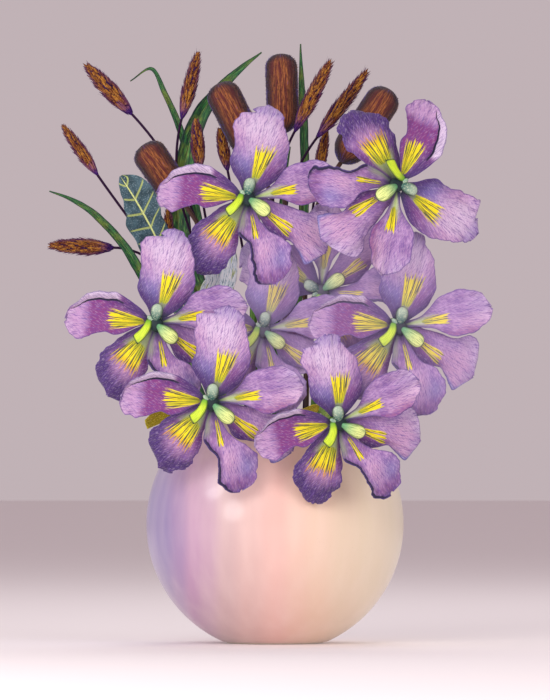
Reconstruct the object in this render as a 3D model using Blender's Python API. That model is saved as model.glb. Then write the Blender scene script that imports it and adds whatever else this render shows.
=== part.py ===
"""Irises in a round vase, with cattails, grass spikes, grass blades and a few leaves.

Metres, +Z up. The origin is the centre of the vase's foot and the bouquet faces -Y.
Every stem stands on the vase's floor, runs straight to its own place in the mouth, and
bends from there to its bloom, head or tip, so no two stems meet inside the vase.
"""

import math

import bpy
import numpy as np
from mathutils import Matrix, Vector

# ---- the vase ----------------------------------------------------------------------
VASE_RADIUS = 0.090
VASE_WALL = 0.0055
FOOT_RADIUS = 0.034
MOUTH_RADIUS = 0.052
FLOOR_THICKNESS = 0.008
VASE_SEGMENTS = 28
BODY_STEPS = 9
LIP_STEPS = 3

VASE_CENTRE = math.sqrt(VASE_RADIUS**2 - FOOT_RADIUS**2)
MOUTH_ANGLE = math.asin(MOUTH_RADIUS / VASE_RADIUS)
MOUTH_HEIGHT = VASE_CENTRE + VASE_RADIUS * math.cos(MOUTH_ANGLE)
INNER_MOUTH_RADIUS = (VASE_RADIUS - VASE_WALL) * math.sin(MOUTH_ANGLE)

# ---- clearances --------------------------------------------------------------------
GAP = 0.0004

# ---- stems -------------------------------------------------------------------------
FLOOR_SPREAD = 0.70  # a stem's place on the floor, as a share of its place in the mouth
IRIS_STEM_RADIUS = 0.0028
CATTAIL_STALK_RADIUS = 0.0016
SPIKE_STALK_RADIUS = 0.0010
STEM_SIDES = 6
STEM_STEPS = 7  # rings from the mouth to the neck
NECK_LENGTH = 0.0065  # the straight end of a stem, square to what it carries

# Below, every place in the mouth is in hundredths of the mouth's inner radius, and every
# other length and place is in hundredths of BLOOM_RADIUS unless it says otherwise. Places
# are counted from the centre of the mouth: to the right, to the back, and up.

# ---- blooms ------------------------------------------------------------------------
BLOOM_RADIUS = 0.067
HUB_RADIUS = 0.0045
PETAL_THICKNESS = 0.0009
STYLE_THICKNESS = 0.0016
STANDARD_LEVEL = PETAL_THICKNESS + GAP
STYLE_LEVEL = STANDARD_LEVEL + (PETAL_THICKNESS + STYLE_THICKNESS) / 2 + 1.5 * GAP
PETAL_COLUMNS = 4
STYLE_COLUMNS = 2

# A petal: its azimuth round the bloom in degrees, its length from the bloom's centre, the
# half widths on its left and right at each of the stations, the slope that it leaves the
# hub with, how far its tip bends back below that slope as a share of its length, and how
# far its two edges stand forward of its middle.
STATIONS = (0.0, 0.2, 0.4, 0.6, 0.8, 0.93, 1.0)
FALLS = (
    dict(azimuth=80, length=100, left=(4, 20, 24, 28, 26, 18, 6),
         right=(4, 22, 32, 31, 23, 16, 6), lift=0.10, droop=0.22, cup=-4),
    dict(azimuth=233, length=92, left=(4, 11, 19, 24, 23, 16, 6),
         right=(4, 15, 24, 28, 25, 14, 5), lift=0.08, droop=0.26, cup=-5),
    dict(azimuth=328, length=97, left=(4, 11, 20, 26, 31, 20, 6),
         right=(4, 12, 19, 16, 22, 17, 6), lift=0.02, droop=0.20, cup=-3),
)
STANDARDS = (
    dict(azimuth=175, length=95, left=(4, 10, 16, 17, 22, 18, 7),
         right=(4, 17, 27, 28, 20, 11, 4), lift=0.22, droop=0.20, cup=4),
    dict(azimuth=12, length=99, left=(4, 9, 20, 25, 24, 16, 5),
         right=(4, 9, 16, 24, 20, 14, 5), lift=0.20, droop=0.16, cup=3),
    dict(azimuth=290, length=97, left=(4, 9, 13, 24, 22, 14, 4),
         right=(4, 14, 17, 13, 17, 15, 7), lift=0.24, droop=0.26, cup=2),
)
# The style arms stand over the falls, the longest over the darkest fall.
STYLES = (
    dict(azimuth=82, length=22, left=(4, 3.5, 4, 6, 7, 6, 3),
         right=(4, 3.5, 4, 6, 7, 6, 3), lift=0.75, droop=0.55, cup=1),
    dict(azimuth=232, length=31, left=(4, 4, 4, 4.5, 5, 4, 2.5),
         right=(4, 4, 4, 4.5, 5, 4, 2.5), lift=0.55, droop=0.50, cup=0.6),
    dict(azimuth=325, length=27, left=(4, 3.5, 5, 6.5, 7, 5.5, 2.5),
         right=(4, 3.5, 5, 6.5, 7, 5.5, 2.5), lift=0.60, droop=0.45, cup=1.2),
)

# One row for each iris: its hub, counted to the back from the front of the vase's belly
# rather than from the mouth; the way its face turns to the right and tilts up; its roll
# about its own axis; its size; its place in the mouth; and its stem's two bend lengths.
IRISES = (
    dict(hub=(-28, 39, 229), turn=-6, tilt=14, roll=0, size=1.00,
         mouth=(-29, 12), bend=(149, 93)),
    dict(hub=(127, 24, 243), turn=14, tilt=10, roll=-109, size=1.00,
         mouth=(55, 8), bend=(164, 125)),
    dict(hub=(-123, 24, 100), turn=-9, tilt=2, roll=0, size=1.00,
         mouth=(-84, -29), bend=(45, 60)),
    dict(hub=(-65, -18, 19), turn=-8, tilt=-6, roll=0, size=1.00,
         mouth=(-58, -69), bend=(12, 38)),
    dict(hub=(65, -33, -2), turn=8, tilt=-10, roll=18, size=0.95,
         mouth=(57, -64), bend=(18, 54)),
    dict(hub=(128, 36, 97), turn=8, tilt=0, roll=0, size=1.00,
         mouth=(80, -18), bend=(56, 95)),
    dict(hub=(-12, 57, 93), turn=-3, tilt=2, roll=0, size=0.93,
         mouth=(-12, -45), bend=(37, 33)),
    dict(hub=(48, 75, 133), turn=-4, tilt=2, roll=73, size=0.95,
         mouth=(25, -20), bend=(67, 33)),
)

# ---- cattails ----------------------------------------------------------------------
CATTAIL_SIDES = 10
# The head's radius from its foot to its crown, as shares of its widest radius.
CATTAIL_PROFILE = (0.40, 0.78, 0.93, 1.0, 1.0, 0.97, 0.80, 0.45)
CATTAIL_STATIONS = (0.0, 0.05, 0.18, 0.45, 0.75, 0.92, 0.98, 1.0)
CATTAIL_BEND = (104, 90)
# The foot of the head, the way it leans to the right and back, its length and radius.
CATTAILS = (
    dict(foot=(-22, 12, 276), lean=-27, back=6, length=84, radius=18.6, mouth=(-12, 29)),
    dict(foot=(9, 30, 299), lean=-2, back=8, length=84, radius=17.4, mouth=(6, 39)),
    dict(foot=(-95, -2, 225), lean=-35, back=4, length=75, radius=18.4, mouth=(-53, 8)),
    dict(foot=(69, 18, 268), lean=34, back=8, length=93, radius=18.7, mouth=(45, 25)),
)

# ---- grass spikes ------------------------------------------------------------------
# The spindle's radius from its foot to its tip, as shares of its widest radius.
SPIKE_PROFILE = (0.45, 0.85, 1.0, 0.88, 0.60, 0.12)
SPIKE_STATIONS = (0.04, 0.18, 0.38, 0.62, 0.84, 1.0)
SPIKE_STEPS = 5
# The foot of the spindle, its lean to the right and back, its length and radius.
SPIKES = (
    dict(foot=(-152, 24, 321), lean=-43, back=0, length=67, radius=10.6, mouth=(-64, 27)),
    dict(foot=(-187, 6, 257), lean=-35, back=0, length=60, radius=7.5, mouth=(-74, 8)),
    dict(foot=(-172, 30, 179), lean=-88, back=0, length=64, radius=10.3, mouth=(-74, 29)),
    dict(foot=(-97, 36, 317), lean=14, back=2, length=68, radius=8.6, mouth=(-40, 33)),
    dict(foot=(-79, 6, 262), lean=-4, back=2, length=51, radius=8.0, mouth=(-37, 25)),
    dict(foot=(-50, 33, 262), lean=-11, back=4, length=43, radius=6.7, mouth=(-20, 41)),
    dict(foot=(22, -6, 303), lean=27, back=0, length=79, radius=8.7, mouth=(16, 8)),
    dict(foot=(46, 46, 297), lean=37, back=4, length=84, radius=8.4, mouth=(29, 38)),
    dict(foot=(45, 57, 253), lean=10, back=6, length=51, radius=6.9, mouth=(41, 41)),
    dict(foot=(-110, -6, 166), lean=-2, back=0, length=54, radius=6.7, mouth=(-76, -10)),
)

# ---- blades and leaves -------------------------------------------------------------
BLADE_SIDES = 6
BLADE_THICKNESS = 0.0014
LEAF_THICKNESS = 0.0012
LEAF_STEPS = 14
# The points that a blade's centreline passes through above the mouth, its half widths at
# even stations from the mouth to the tip, and its place in the mouth.
BLADES = (
    dict(route=((-69, 36, 102), (-101, 45, 199), (-87, 48, 296), (-56, 51, 348),
                (-14, 54, 384)),
         widths=(3.0, 7.5, 11.5, 12.5, 11, 7, 0.7), mouth=(-50, 42)),
    dict(route=((-75, 60, 184), (-95, 63, 288), (-113, 63, 335), (-132, 63, 369),
                (-141, 63, 363), (-152, 63, 354)),
         widths=(2.7, 4, 4.5, 4.5, 4, 3.3, 0.7), mouth=(-29, 53)),
    dict(route=((-116, 18, 102), (-148, 21, 166), (-176, 21, 202), (-206, 18, 226),
                (-236, 15, 238)),
         widths=(2.7, 3.6, 4.5, 5, 4.8, 3.6, 0.6), mouth=(-86, 10)),
    dict(route=((24, 54, 124), (30, 57, 214), (31, 60, 288), (28, 60, 348), (27, 60, 393)),
         widths=(3.0, 4.2, 5, 5.4, 4.8, 4.2, 0.9), mouth=(23, 53)),
    dict(route=((3, 51, 124), (6, 54, 214), (12, 54, 259), (16, 54, 285)),
         widths=(2.7, 3.6, 4.5, 4.5, 3.3, 2.1, 0.6), mouth=(0, 57)),
)
LEAVES = (
    dict(name="veined_leaf", finish="veined_leaf",
         route=((-87, -15, 97), (-119, -27, 178), (-137, -33, 214), (-161, -39, 253)),
         widths=(2.4, 2.4, 3.0, 16, 22, 19, 10), mouth=(-64, -25)),
    dict(name="yellow_leaf_left", finish="yellow_leaf",
         route=((-87, -51, 21), (-110, -72, 13), (-134, -87, -5)),
         widths=(2.1, 2.4, 7.5, 12, 13, 11, 6), mouth=(-74, -45)),
    dict(name="yellow_leaf_right", finish="yellow_leaf",
         route=((31, -87, 10), (37, -110, 11), (45, -131, 17)),
         widths=(2.1, 2.4, 3.0, 5.2, 7.5, 6, 0.9), mouth=(37, -76)),
    dict(name="silver_leaf", finish="silver_leaf",
         route=((-51, -15, 72), (-60, -21, 124), (-54, -24, 157), (-45, -24, 184)),
         widths=(2.1, 2.4, 7.5, 18, 21, 16, 4.5), mouth=(-43, -27)),
)

# ---- colours: base colour, roughness -----------------------------------------------
COLOURS = {
    "glaze": ((0.86, 0.68, 0.62), 0.30),
    "petal": ((0.52, 0.33, 0.62), 0.60),
    "style": ((0.55, 0.68, 0.25), 0.50),
    "stem": ((0.20, 0.36, 0.12), 0.55),
    "cattail": ((0.26, 0.10, 0.06), 0.90),
    "stalk": ((0.20, 0.14, 0.12), 0.70),
    "spike": ((0.42, 0.22, 0.06), 0.85),
    "blade": ((0.10, 0.25, 0.08), 0.55),
    "veined_leaf": ((0.10, 0.17, 0.20), 0.55),
    "yellow_leaf": ((0.62, 0.58, 0.08), 0.60),
    "silver_leaf": ((0.62, 0.72, 0.78), 0.75),
}


# ---- helpers -----------------------------------------------------------------------
def clear_scene():
    """Removes whatever the scene holds."""
    for obj in list(bpy.data.objects):
        bpy.data.objects.remove(obj)


def material(name):
    """The named finish as a Principled BSDF, made the first time that it is asked for."""
    if name in bpy.data.materials:
        return bpy.data.materials[name]
    colour, roughness = COLOURS[name]
    made = bpy.data.materials.new(name)
    made.use_nodes = True
    shader = made.node_tree.nodes["Principled BSDF"]
    shader.inputs["Base Color"].default_value = (*colour, 1)
    shader.inputs["Roughness"].default_value = roughness
    shader.inputs["Metallic"].default_value = 0
    return made


def add_object(name, vertices, faces, finish, parent=None):
    """A smooth-shaded mesh object with one material."""
    mesh = bpy.data.meshes.new(name)
    mesh.from_pydata([tuple(v) for v in vertices], [], faces)
    mesh.update()
    mesh.shade_smooth()
    mesh.materials.append(material(finish))
    obj = bpy.data.objects.new(name, mesh)
    bpy.context.scene.collection.objects.link(obj)
    obj.parent = parent
    return obj


def unit(vector):
    return np.asarray(vector, float) / np.linalg.norm(vector)


def sized(length):
    """A length given in hundredths of the bloom's radius."""
    return length * BLOOM_RADIUS / 100


def place(point):
    """A place given in hundredths of the bloom's radius from the centre of the mouth."""
    return np.array([0, 0, MOUTH_HEIGHT]) + np.array(point) * BLOOM_RADIUS / 100


def bezier(start, start_handle, end_handle, end, steps):
    """Points along one cubic Bezier curve, both ends included."""
    t = np.linspace(0, 1, steps + 1)[:, None]
    return (
        (1 - t) ** 3 * start
        + 3 * (1 - t) ** 2 * t * start_handle
        + 3 * (1 - t) * t**2 * end_handle
        + t**3 * end
    )


def through(points, steps):
    """A smooth Catmull-Rom curve through the points, read at even shares of its length."""
    points = np.asarray(points, float)
    padded = np.vstack([2 * points[0] - points[1], points, 2 * points[-1] - points[-2]])
    fine = []
    for a, b, c, d in zip(padded, padded[1:], padded[2:], padded[3:]):
        for t in np.linspace(0, 1, 12, endpoint=False):
            fine.append(0.5 * (2 * b + (c - a) * t + (2 * a - 5 * b + 4 * c - d) * t**2
                               + (3 * b - a - 3 * c + d) * t**3))
    fine = np.array([*fine, points[-1]])
    along = np.concatenate([[0], np.cumsum(np.linalg.norm(np.diff(fine, axis=0), axis=1))])
    wanted = np.linspace(0, along[-1], steps + 1)
    return np.stack([np.interp(wanted, along, fine[:, k]) for k in range(3)], axis=1)


def ring_frames(centres, facing):
    """The unit vectors across and out of a ribbon at each of its centres. The ribbon's flat
    side starts out facing the given way and is carried along the path without twisting."""
    tangents = np.gradient(centres, axis=0)
    out = unit(facing)
    across_rows = []
    out_rows = []
    for tangent in tangents:
        tangent = unit(tangent)
        out = unit(out - tangent * (out @ tangent))
        across_rows.append(np.cross(out, tangent))
        out_rows.append(out)
    return np.array(across_rows), np.array(out_rows)


def loft(name, centres, half_widths, half_depths, sides, finish, facing=(0, -1, 0)):
    """A closed solid of oval rings along a path: stems, heads, blades and leaves alike."""
    centres = np.asarray(centres, float)
    across, out = ring_frames(centres, facing)
    turn = np.linspace(0, 2 * math.pi, sides, endpoint=False)
    wide = np.asarray(half_widths, float)[:, None, None] * np.cos(turn)[None, :, None]
    deep = np.asarray(half_depths, float)[:, None, None] * np.sin(turn)[None, :, None]
    rings = centres[:, None] + across[:, None] * wide + out[:, None] * deep
    faces = [tuple(reversed(range(sides)))]
    for ring in range(len(centres) - 1):
        for side in range(sides):
            here = ring * sides + side
            beside = ring * sides + (side + 1) % sides
            faces.append((here, beside, beside + sides, here + sides))
    last = (len(centres) - 1) * sides
    faces.append(tuple(range(last, last + sides)))
    return add_object(name, rings.reshape(-1, 3), faces, finish)


# ---- the vase ----------------------------------------------------------------------
def vase_profile():
    """(radius, height) down the axis side to the foot, up the outside, over the rounded lip
    and down the inside to the floor."""
    inner_radius = VASE_RADIUS - VASE_WALL
    foot_angle = math.pi - math.asin(FOOT_RADIUS / VASE_RADIUS)
    floor_angle = math.pi - math.acos((VASE_CENTRE - FLOOR_THICKNESS) / inner_radius)
    outline = [(0.0, 0.0)]
    for angle in np.linspace(foot_angle, MOUTH_ANGLE, BODY_STEPS + 1):
        outline.append((VASE_RADIUS * math.sin(angle),
                        VASE_CENTRE + VASE_RADIUS * math.cos(angle)))
    middle = VASE_RADIUS - VASE_WALL / 2
    for turn in np.linspace(0, math.pi, LIP_STEPS + 2)[1:-1]:
        radial = middle + VASE_WALL / 2 * math.cos(turn)
        raised = VASE_WALL / 2 * math.sin(turn)
        outline.append((
            radial * math.sin(MOUTH_ANGLE) - raised * math.cos(MOUTH_ANGLE),
            VASE_CENTRE + radial * math.cos(MOUTH_ANGLE) + raised * math.sin(MOUTH_ANGLE),
        ))
    for angle in np.linspace(MOUTH_ANGLE, floor_angle, BODY_STEPS + 1):
        outline.append((inner_radius * math.sin(angle),
                        VASE_CENTRE + inner_radius * math.cos(angle)))
    outline.append((0.0, FLOOR_THICKNESS))
    return outline


def build_vase():
    """The vase's profile turned about the Z axis, closed at both poles."""
    outline = vase_profile()
    turns = np.linspace(0, 2 * math.pi, VASE_SEGMENTS, endpoint=False)
    vertices = [(0, 0, outline[0][1])]
    for radius, height in outline[1:-1]:
        vertices += [(radius * math.cos(t), radius * math.sin(t), height) for t in turns]
    vertices.append((0, 0, outline[-1][1]))
    rings = len(outline) - 2
    top = len(vertices) - 1
    faces = []
    for side in range(VASE_SEGMENTS):
        beside = (side + 1) % VASE_SEGMENTS
        faces.append((0, 1 + beside, 1 + side))
        for ring in range(rings - 1):
            row = 1 + ring * VASE_SEGMENTS
            above = row + VASE_SEGMENTS
            faces.append((row + side, row + beside, above + beside, above + side))
        last = 1 + (rings - 1) * VASE_SEGMENTS
        faces.append((last + side, last + beside, top))
    return add_object("vase", vertices, faces, "glaze")


# ---- stems -------------------------------------------------------------------------
def stem_start(mouth, radius):
    """The stem's foot on the vase's floor and its place level with the rim."""
    rim = np.array([*mouth, 0]) * INNER_MOUTH_RADIUS / 100 + (0, 0, MOUTH_HEIGHT)
    foot = np.array([*rim[:2] * FLOOR_SPREAD, FLOOR_THICKNESS + GAP + radius])
    return foot, rim


def stem_path(mouth, radius, end, arrival, bend, steps=STEM_STEPS):
    """From the floor straight to the mouth, then on one Bezier curve to a short straight
    neck that heads the way of arrival. bend holds the curve's two handle lengths."""
    foot, rim = stem_start(mouth, radius)
    heading = unit(rim - foot)
    arrival = unit(arrival)
    neck = end - arrival * NECK_LENGTH
    curve = bezier(rim, rim + heading * sized(bend[0]),
                   neck - arrival * sized(bend[1]), neck, steps)
    return np.vstack([foot, (foot + rim) / 2, curve, end])


def axis_of(lean, back):
    """The unit vector that points up, leant to the right and to the back, in degrees."""
    lean, back = math.radians(lean), math.radians(back)
    return np.array([math.sin(lean) * math.cos(back), math.sin(back),
                     math.cos(lean) * math.cos(back)])


# ---- irises ------------------------------------------------------------------------
def petal_grid(petal, scale, level, columns):
    """A petal's points in its bloom's frame, whose Z is the way the bloom faces: rows from
    root to tip, each from the right edge to the left edge."""
    azimuth = math.radians(petal["azimuth"])
    outward = np.array([math.cos(azimuth), math.sin(azimuth), 0])
    leftward = np.array([-math.sin(azimuth), math.cos(azimuth), 0])
    reach = petal["length"] * scale - HUB_RADIUS
    grid = []
    for u, left, right in zip(STATIONS, petal["left"], petal["right"]):
        height = level + reach * (petal["lift"] * u - petal["droop"] * u * u)
        middle = outward * (HUB_RADIUS + reach * u) + (0, 0, height)
        for column in range(columns + 1):
            v = 2 * column / columns - 1
            side = v * (left if v > 0 else right) * scale
            forward = petal["cup"] * scale * min(1, 3 * u) * v * v
            grid.append(middle + leftward * side + (0, 0, forward))
    return grid


def build_whorl(name, petals, scale, level, columns, thickness, finish, parent):
    """Petals that grow from one hub, as a sheet given its thickness by Solidify."""
    vertices = [(0, 0, level)]
    faces = []
    hub_edge = []
    width = columns + 1
    for petal in sorted(petals, key=lambda p: p["azimuth"]):
        start = len(vertices)
        vertices += petal_grid(petal, scale, level, columns)
        hub_edge += range(start, start + width)
        for row in range(len(STATIONS) - 1):
            for column in range(columns):
                corner = start + row * width + column
                faces.append((corner, corner + width, corner + width + 1, corner + 1))
    for here, beside in zip(hub_edge, hub_edge[1:] + hub_edge[:1]):
        faces.append((0, here, beside))
    obj = add_object(name, vertices, faces, finish, parent)
    solidify = obj.modifiers.new("thickness", "SOLIDIFY")
    solidify.thickness = thickness
    solidify.offset = 0
    return obj


def build_iris(number, plan):
    """One iris: a stem, three falls on one hub, three standards and the style arms."""
    name = f"iris_{number}"
    axis = bpy.data.objects.new(f"{name}_axis", None)
    bpy.context.scene.collection.objects.link(axis)
    turned = (
        Matrix.Rotation(math.radians(plan["turn"]), 4, "Z")
        @ Matrix.Rotation(math.radians(90 - plan["tilt"]), 4, "X")
        @ Matrix.Rotation(math.radians(plan["roll"]), 4, "Z")
    )
    hub = place(plan["hub"]) - (0, VASE_RADIUS, 0)
    axis.matrix_world = Matrix.Translation(hub) @ turned
    scale = sized(plan["size"])
    build_whorl(f"{name}_falls", FALLS, scale, 0, PETAL_COLUMNS, PETAL_THICKNESS,
                "petal", axis)
    build_whorl(f"{name}_standards", STANDARDS, scale, STANDARD_LEVEL, PETAL_COLUMNS,
                PETAL_THICKNESS, "petal", axis)
    build_whorl(f"{name}_styles", STYLES, scale, STYLE_LEVEL, STYLE_COLUMNS,
                STYLE_THICKNESS, "style", axis)
    facing = np.array((turned @ Vector((0, 0, 1, 0))).xyz)
    stem_top = hub - facing * (PETAL_THICKNESS / 2 + GAP)
    path = stem_path(plan["mouth"], IRIS_STEM_RADIUS, stem_top, facing, plan["bend"])
    radii = np.full(len(path), IRIS_STEM_RADIUS)
    loft(f"{name}_stem", path, radii, radii, STEM_SIDES, "stem")


# ---- cattails, spikes, blades and leaves -------------------------------------------
def build_cattail(number, plan):
    """A cattail: a bare stalk and the felted head on top of it."""
    axis = axis_of(plan["lean"], plan["back"])
    foot = place(plan["foot"])
    stalk = stem_path(plan["mouth"], CATTAIL_STALK_RADIUS, foot - axis * GAP, axis,
                      CATTAIL_BEND)
    radii = np.full(len(stalk), CATTAIL_STALK_RADIUS)
    loft(f"cattail_{number}_stalk", stalk, radii, radii, STEM_SIDES, "stalk")
    centres = foot + np.outer(CATTAIL_STATIONS, axis * sized(plan["length"]))
    radii = np.array(CATTAIL_PROFILE) * sized(plan["radius"])
    loft(f"cattail_{number}_head", centres, radii, radii, CATTAIL_SIDES, "cattail")


def build_spike(number, plan):
    """A grass spike: a thin stalk that swells into a spindle of seeds."""
    axis = axis_of(plan["lean"], plan["back"])
    height = plan["foot"][2]
    foot = place(plan["foot"])
    stalk = stem_path(plan["mouth"], SPIKE_STALK_RADIUS, foot, axis,
                      (0.38 * height, 0.33 * height), SPIKE_STEPS)
    spindle = foot + np.outer(SPIKE_STATIONS, axis * sized(plan["length"]))
    radii = np.concatenate([
        np.full(len(stalk), SPIKE_STALK_RADIUS),
        np.array(SPIKE_PROFILE) * sized(plan["radius"]),
    ])
    loft(f"spike_{number}", np.vstack([stalk, spindle]), radii, radii, STEM_SIDES, "spike")


def build_ribbon(name, plan, thickness, finish):
    """A blade or a leaf: a flat oval section whose width follows the plan's half widths."""
    foot, rim = stem_start(plan["mouth"], thickness)
    above = through([rim, *map(place, plan["route"])], LEAF_STEPS)
    widths = np.interp(np.linspace(0, 1, LEAF_STEPS + 1),
                       np.linspace(0, 1, len(plan["widths"])), plan["widths"])
    widths = sized(np.concatenate([[widths[0], widths[0]], widths]))
    depths = np.full(len(widths), thickness / 2)
    depths[-1] = min(depths[-1], widths[-1])
    path = np.vstack([foot, (foot + rim) / 2, above])
    loft(name, path, widths, depths, BLADE_SIDES, finish)


def main():
    clear_scene()
    build_vase()
    for number, plan in enumerate(IRISES, 1):
        build_iris(number, plan)
    for number, plan in enumerate(CATTAILS, 1):
        build_cattail(number, plan)
    for number, plan in enumerate(SPIKES, 1):
        build_spike(number, plan)
    for number, plan in enumerate(BLADES, 1):
        build_ribbon(f"blade_{number}", plan, BLADE_THICKNESS, "blade")
    for plan in LEAVES:
        build_ribbon(plan["name"], plan, LEAF_THICKNESS, plan["finish"])


main()
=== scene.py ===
# %% [markdown]
# # Irises in a round vase
# The frame holds the plain solids of a bouquet: a glazed bowl, eight irises, four cattails,
# ten grass spikes, five blades and four leaves. This script reads where each solid stands
# and builds the finished piece in the same place, as a surface made from a formula.

# %% Open the frame
import math

import bpy
import numpy as np
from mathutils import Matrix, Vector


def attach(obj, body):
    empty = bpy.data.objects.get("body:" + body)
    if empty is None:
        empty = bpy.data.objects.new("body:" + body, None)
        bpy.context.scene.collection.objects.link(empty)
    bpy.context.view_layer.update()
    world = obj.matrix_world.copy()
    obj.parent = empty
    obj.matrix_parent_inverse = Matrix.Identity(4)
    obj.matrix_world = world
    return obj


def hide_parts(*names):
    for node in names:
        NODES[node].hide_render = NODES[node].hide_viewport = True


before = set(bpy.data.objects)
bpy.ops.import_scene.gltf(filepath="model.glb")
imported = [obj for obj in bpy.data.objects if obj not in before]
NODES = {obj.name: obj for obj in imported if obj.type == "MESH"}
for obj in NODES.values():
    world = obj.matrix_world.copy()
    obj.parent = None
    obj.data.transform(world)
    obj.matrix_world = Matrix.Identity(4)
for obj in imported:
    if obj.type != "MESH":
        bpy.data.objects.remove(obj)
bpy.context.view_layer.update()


# %% [markdown]
# ## Tools for shapes
# Most pieces could be sculpted by hand, but a formula keeps eight blooms alike and lets one
# number change them all. Every surface is a grid of points worked out as whole arrays.
# A few small helpers for curves come first, and the helpers for surfaces after them.

# %% Shape tools
FRONT = (0.0, -1.0, 0.0)


def unit(vectors):
    """Vectors scaled to length one along the last axis."""
    return vectors / np.maximum(np.linalg.norm(vectors, axis=-1, keepdims=True), 1e-12)


def rise(x, low, high):
    """0 below low and 1 above high, with a smooth S between; high may be below low."""
    t = np.clip((x - low) / (high - low), 0, 1)
    return t * t * (3 - 2 * t)


def glow(x, centre, width):
    """A bell that is 1 at the centre and falls to about a third one width away."""
    return np.exp(-(((x - centre) / width) ** 2))


def ripple(x, seed, octaves=4, base=1.0):
    """A wandering line between about -1 and 1: sines of doubling pitch and random phase,
    each half as strong as the one before."""
    rng = np.random.default_rng(seed)
    total = np.zeros_like(x, dtype=float)
    for octave in range(octaves):
        pitch = base * 2**octave * rng.uniform(0.8, 1.25)
        total += np.sin(2 * np.pi * (pitch * x + rng.uniform())) / 2**octave
    return total / 1.6


def flow(x, stations, values):
    """A smooth curve through the values at the stations, by cubic Hermite pieces whose
    slopes are the differences of the neighbours."""
    xs, ys = np.asarray(stations, float), np.asarray(values, float)
    slopes = np.gradient(ys, xs, axis=0)
    i = np.clip(np.searchsorted(xs, x, side="right") - 1, 0, len(xs) - 2)
    h = xs[i + 1] - xs[i]
    t = (x - xs[i]) / h
    if ys.ndim > 1:
        h, t = h[:, None], t[:, None]
    return (
        (2 * t**3 - 3 * t**2 + 1) * ys[i]
        + (t**3 - 2 * t**2 + t) * h * slopes[i]
        + (3 * t**2 - 2 * t**3) * ys[i + 1]
        + (t**3 - t**2) * h * slopes[i + 1]
    )


# %% [markdown]
# A grid of points becomes a surface when each point is joined to its neighbours. A thin
# thing, such as a petal, is a grid with a front and a back joined by a strip round the
# margin, so it is closed and has a true thickness at its edge. Tubes and bowls are closed
# by a fan at each end.

# %% Surface tools
def grid_quads(rows, columns, wrap=False):
    """Corner numbers of the quads of a grid of points stored row by row. With wrap the
    last column joins the first."""
    r = np.arange(rows - 1)[:, None]
    c = np.arange(columns if wrap else columns - 1)[None, :]
    a = r * columns + c
    b = r * columns + (c + 1) % columns
    return np.stack([a, b, b + columns, a + columns], axis=-1).reshape(-1, 4)


def distances(path):
    """How far each point of a path is from its start, along the path."""
    return np.concatenate([[0], np.cumsum(np.linalg.norm(np.diff(path, axis=0), axis=1))])


def grid_normals(points):
    """The unit normal at every point of a grid: along its rows crossed with across them."""
    return unit(np.cross(np.gradient(points, axis=0), np.gradient(points, axis=1)))


def sheet_shell(points, thickness, fields):
    """Closes a grid into a thin solid: a front and a back half a thickness either side of
    it, and a strip of quads round the margin. The fields, one value or row of values for
    each grid point, are carried to both sides, and a new one, back, is 1 on the back."""
    rows, columns = points.shape[:2]
    offset = grid_normals(points) * np.asarray(thickness)[..., None] / 2
    verts = np.concatenate([(points + offset).reshape(-1, 3), (points - offset).reshape(-1, 3)])
    count = rows * columns
    front = grid_quads(rows, columns)[:, ::-1]
    index = np.arange(count).reshape(rows, columns)
    loop = np.concatenate([index[0, :-1], index[:-1, -1], index[-1, :0:-1], index[:0:-1, 0]])
    after = np.roll(loop, -1)
    strip = np.stack([loop, after, after + count, loop + count], axis=-1)
    quads = np.concatenate([front, front[:, ::-1] + count, strip])
    both = {k: np.concatenate([v.reshape(count, -1)] * 2) for k, v in fields.items()}
    both["back"] = np.repeat([0.0, 1.0], count)[:, None]
    return verts, quads, both


def carried(path, facing):
    """Across and out vectors for every point of a path. Out starts nearest the facing
    vector and is carried along, each time made square to the path."""
    tangents = unit(np.gradient(path, axis=0))
    outs = np.empty_like(path)
    out = np.asarray(facing, float)
    for i, tangent in enumerate(tangents):
        out = out - tangent * (out @ tangent)
        out = out / np.linalg.norm(out)
        outs[i] = out
    return np.cross(outs, tangents), outs, tangents


def swing(across, out, turn):
    """The direction at an angle turned from across towards out."""
    return across * np.cos(turn)[..., None] + out * np.sin(turn)[..., None]


def beside(points, axis):
    """Points with their share along an axis taken away."""
    return points - np.outer(points @ axis, axis)


def repeated(times, **values):
    """Fields in which each value is given to as many points in a row as times says."""
    return {key: np.repeat(value, times)[:, None] for key, value in values.items()}


def closed_rings(rings, low, high):
    """Rings of points wrapped round, with a fan onto one point at each end."""
    rows, sides = rings.shape[:2]
    verts = np.concatenate([rings.reshape(-1, 3), [low, high]])
    ring = np.arange(sides)
    after = (ring + 1) % sides
    top = (rows - 1) * sides
    fans = np.concatenate([
        np.stack([after, ring, np.full(sides, rows * sides)], -1),
        np.stack([ring + top, after + top, np.full(sides, rows * sides + 1)], -1),
    ])
    return verts, (grid_quads(rows, sides, wrap=True), fans)


def tube(path, wide, deep=None, sides=16, facing=FRONT):
    """A closed tube of oval rings along a path, with the fields along and around, which
    run from 0 to 1."""
    deep = wide if deep is None else deep
    across, out, _ = carried(path, facing)
    turn = np.linspace(0, 2 * np.pi, sides, endpoint=False)
    rings = (
        path[:, None]
        + across[:, None] * (np.asarray(wide)[:, None] * np.cos(turn))[..., None]
        + out[:, None] * (np.asarray(deep)[:, None] * np.sin(turn))[..., None]
    )
    verts, faces = closed_rings(rings, path[0], path[-1])
    steps = distances(path)
    along = np.concatenate([np.repeat(steps / steps[-1], sides), [0.0], [1.0]])
    around = np.concatenate([np.tile(np.abs(turn / np.pi - 1), len(path)), [0.5], [0.5]])
    return verts, faces, {"along": along[:, None], "around": around[:, None]}


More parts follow.
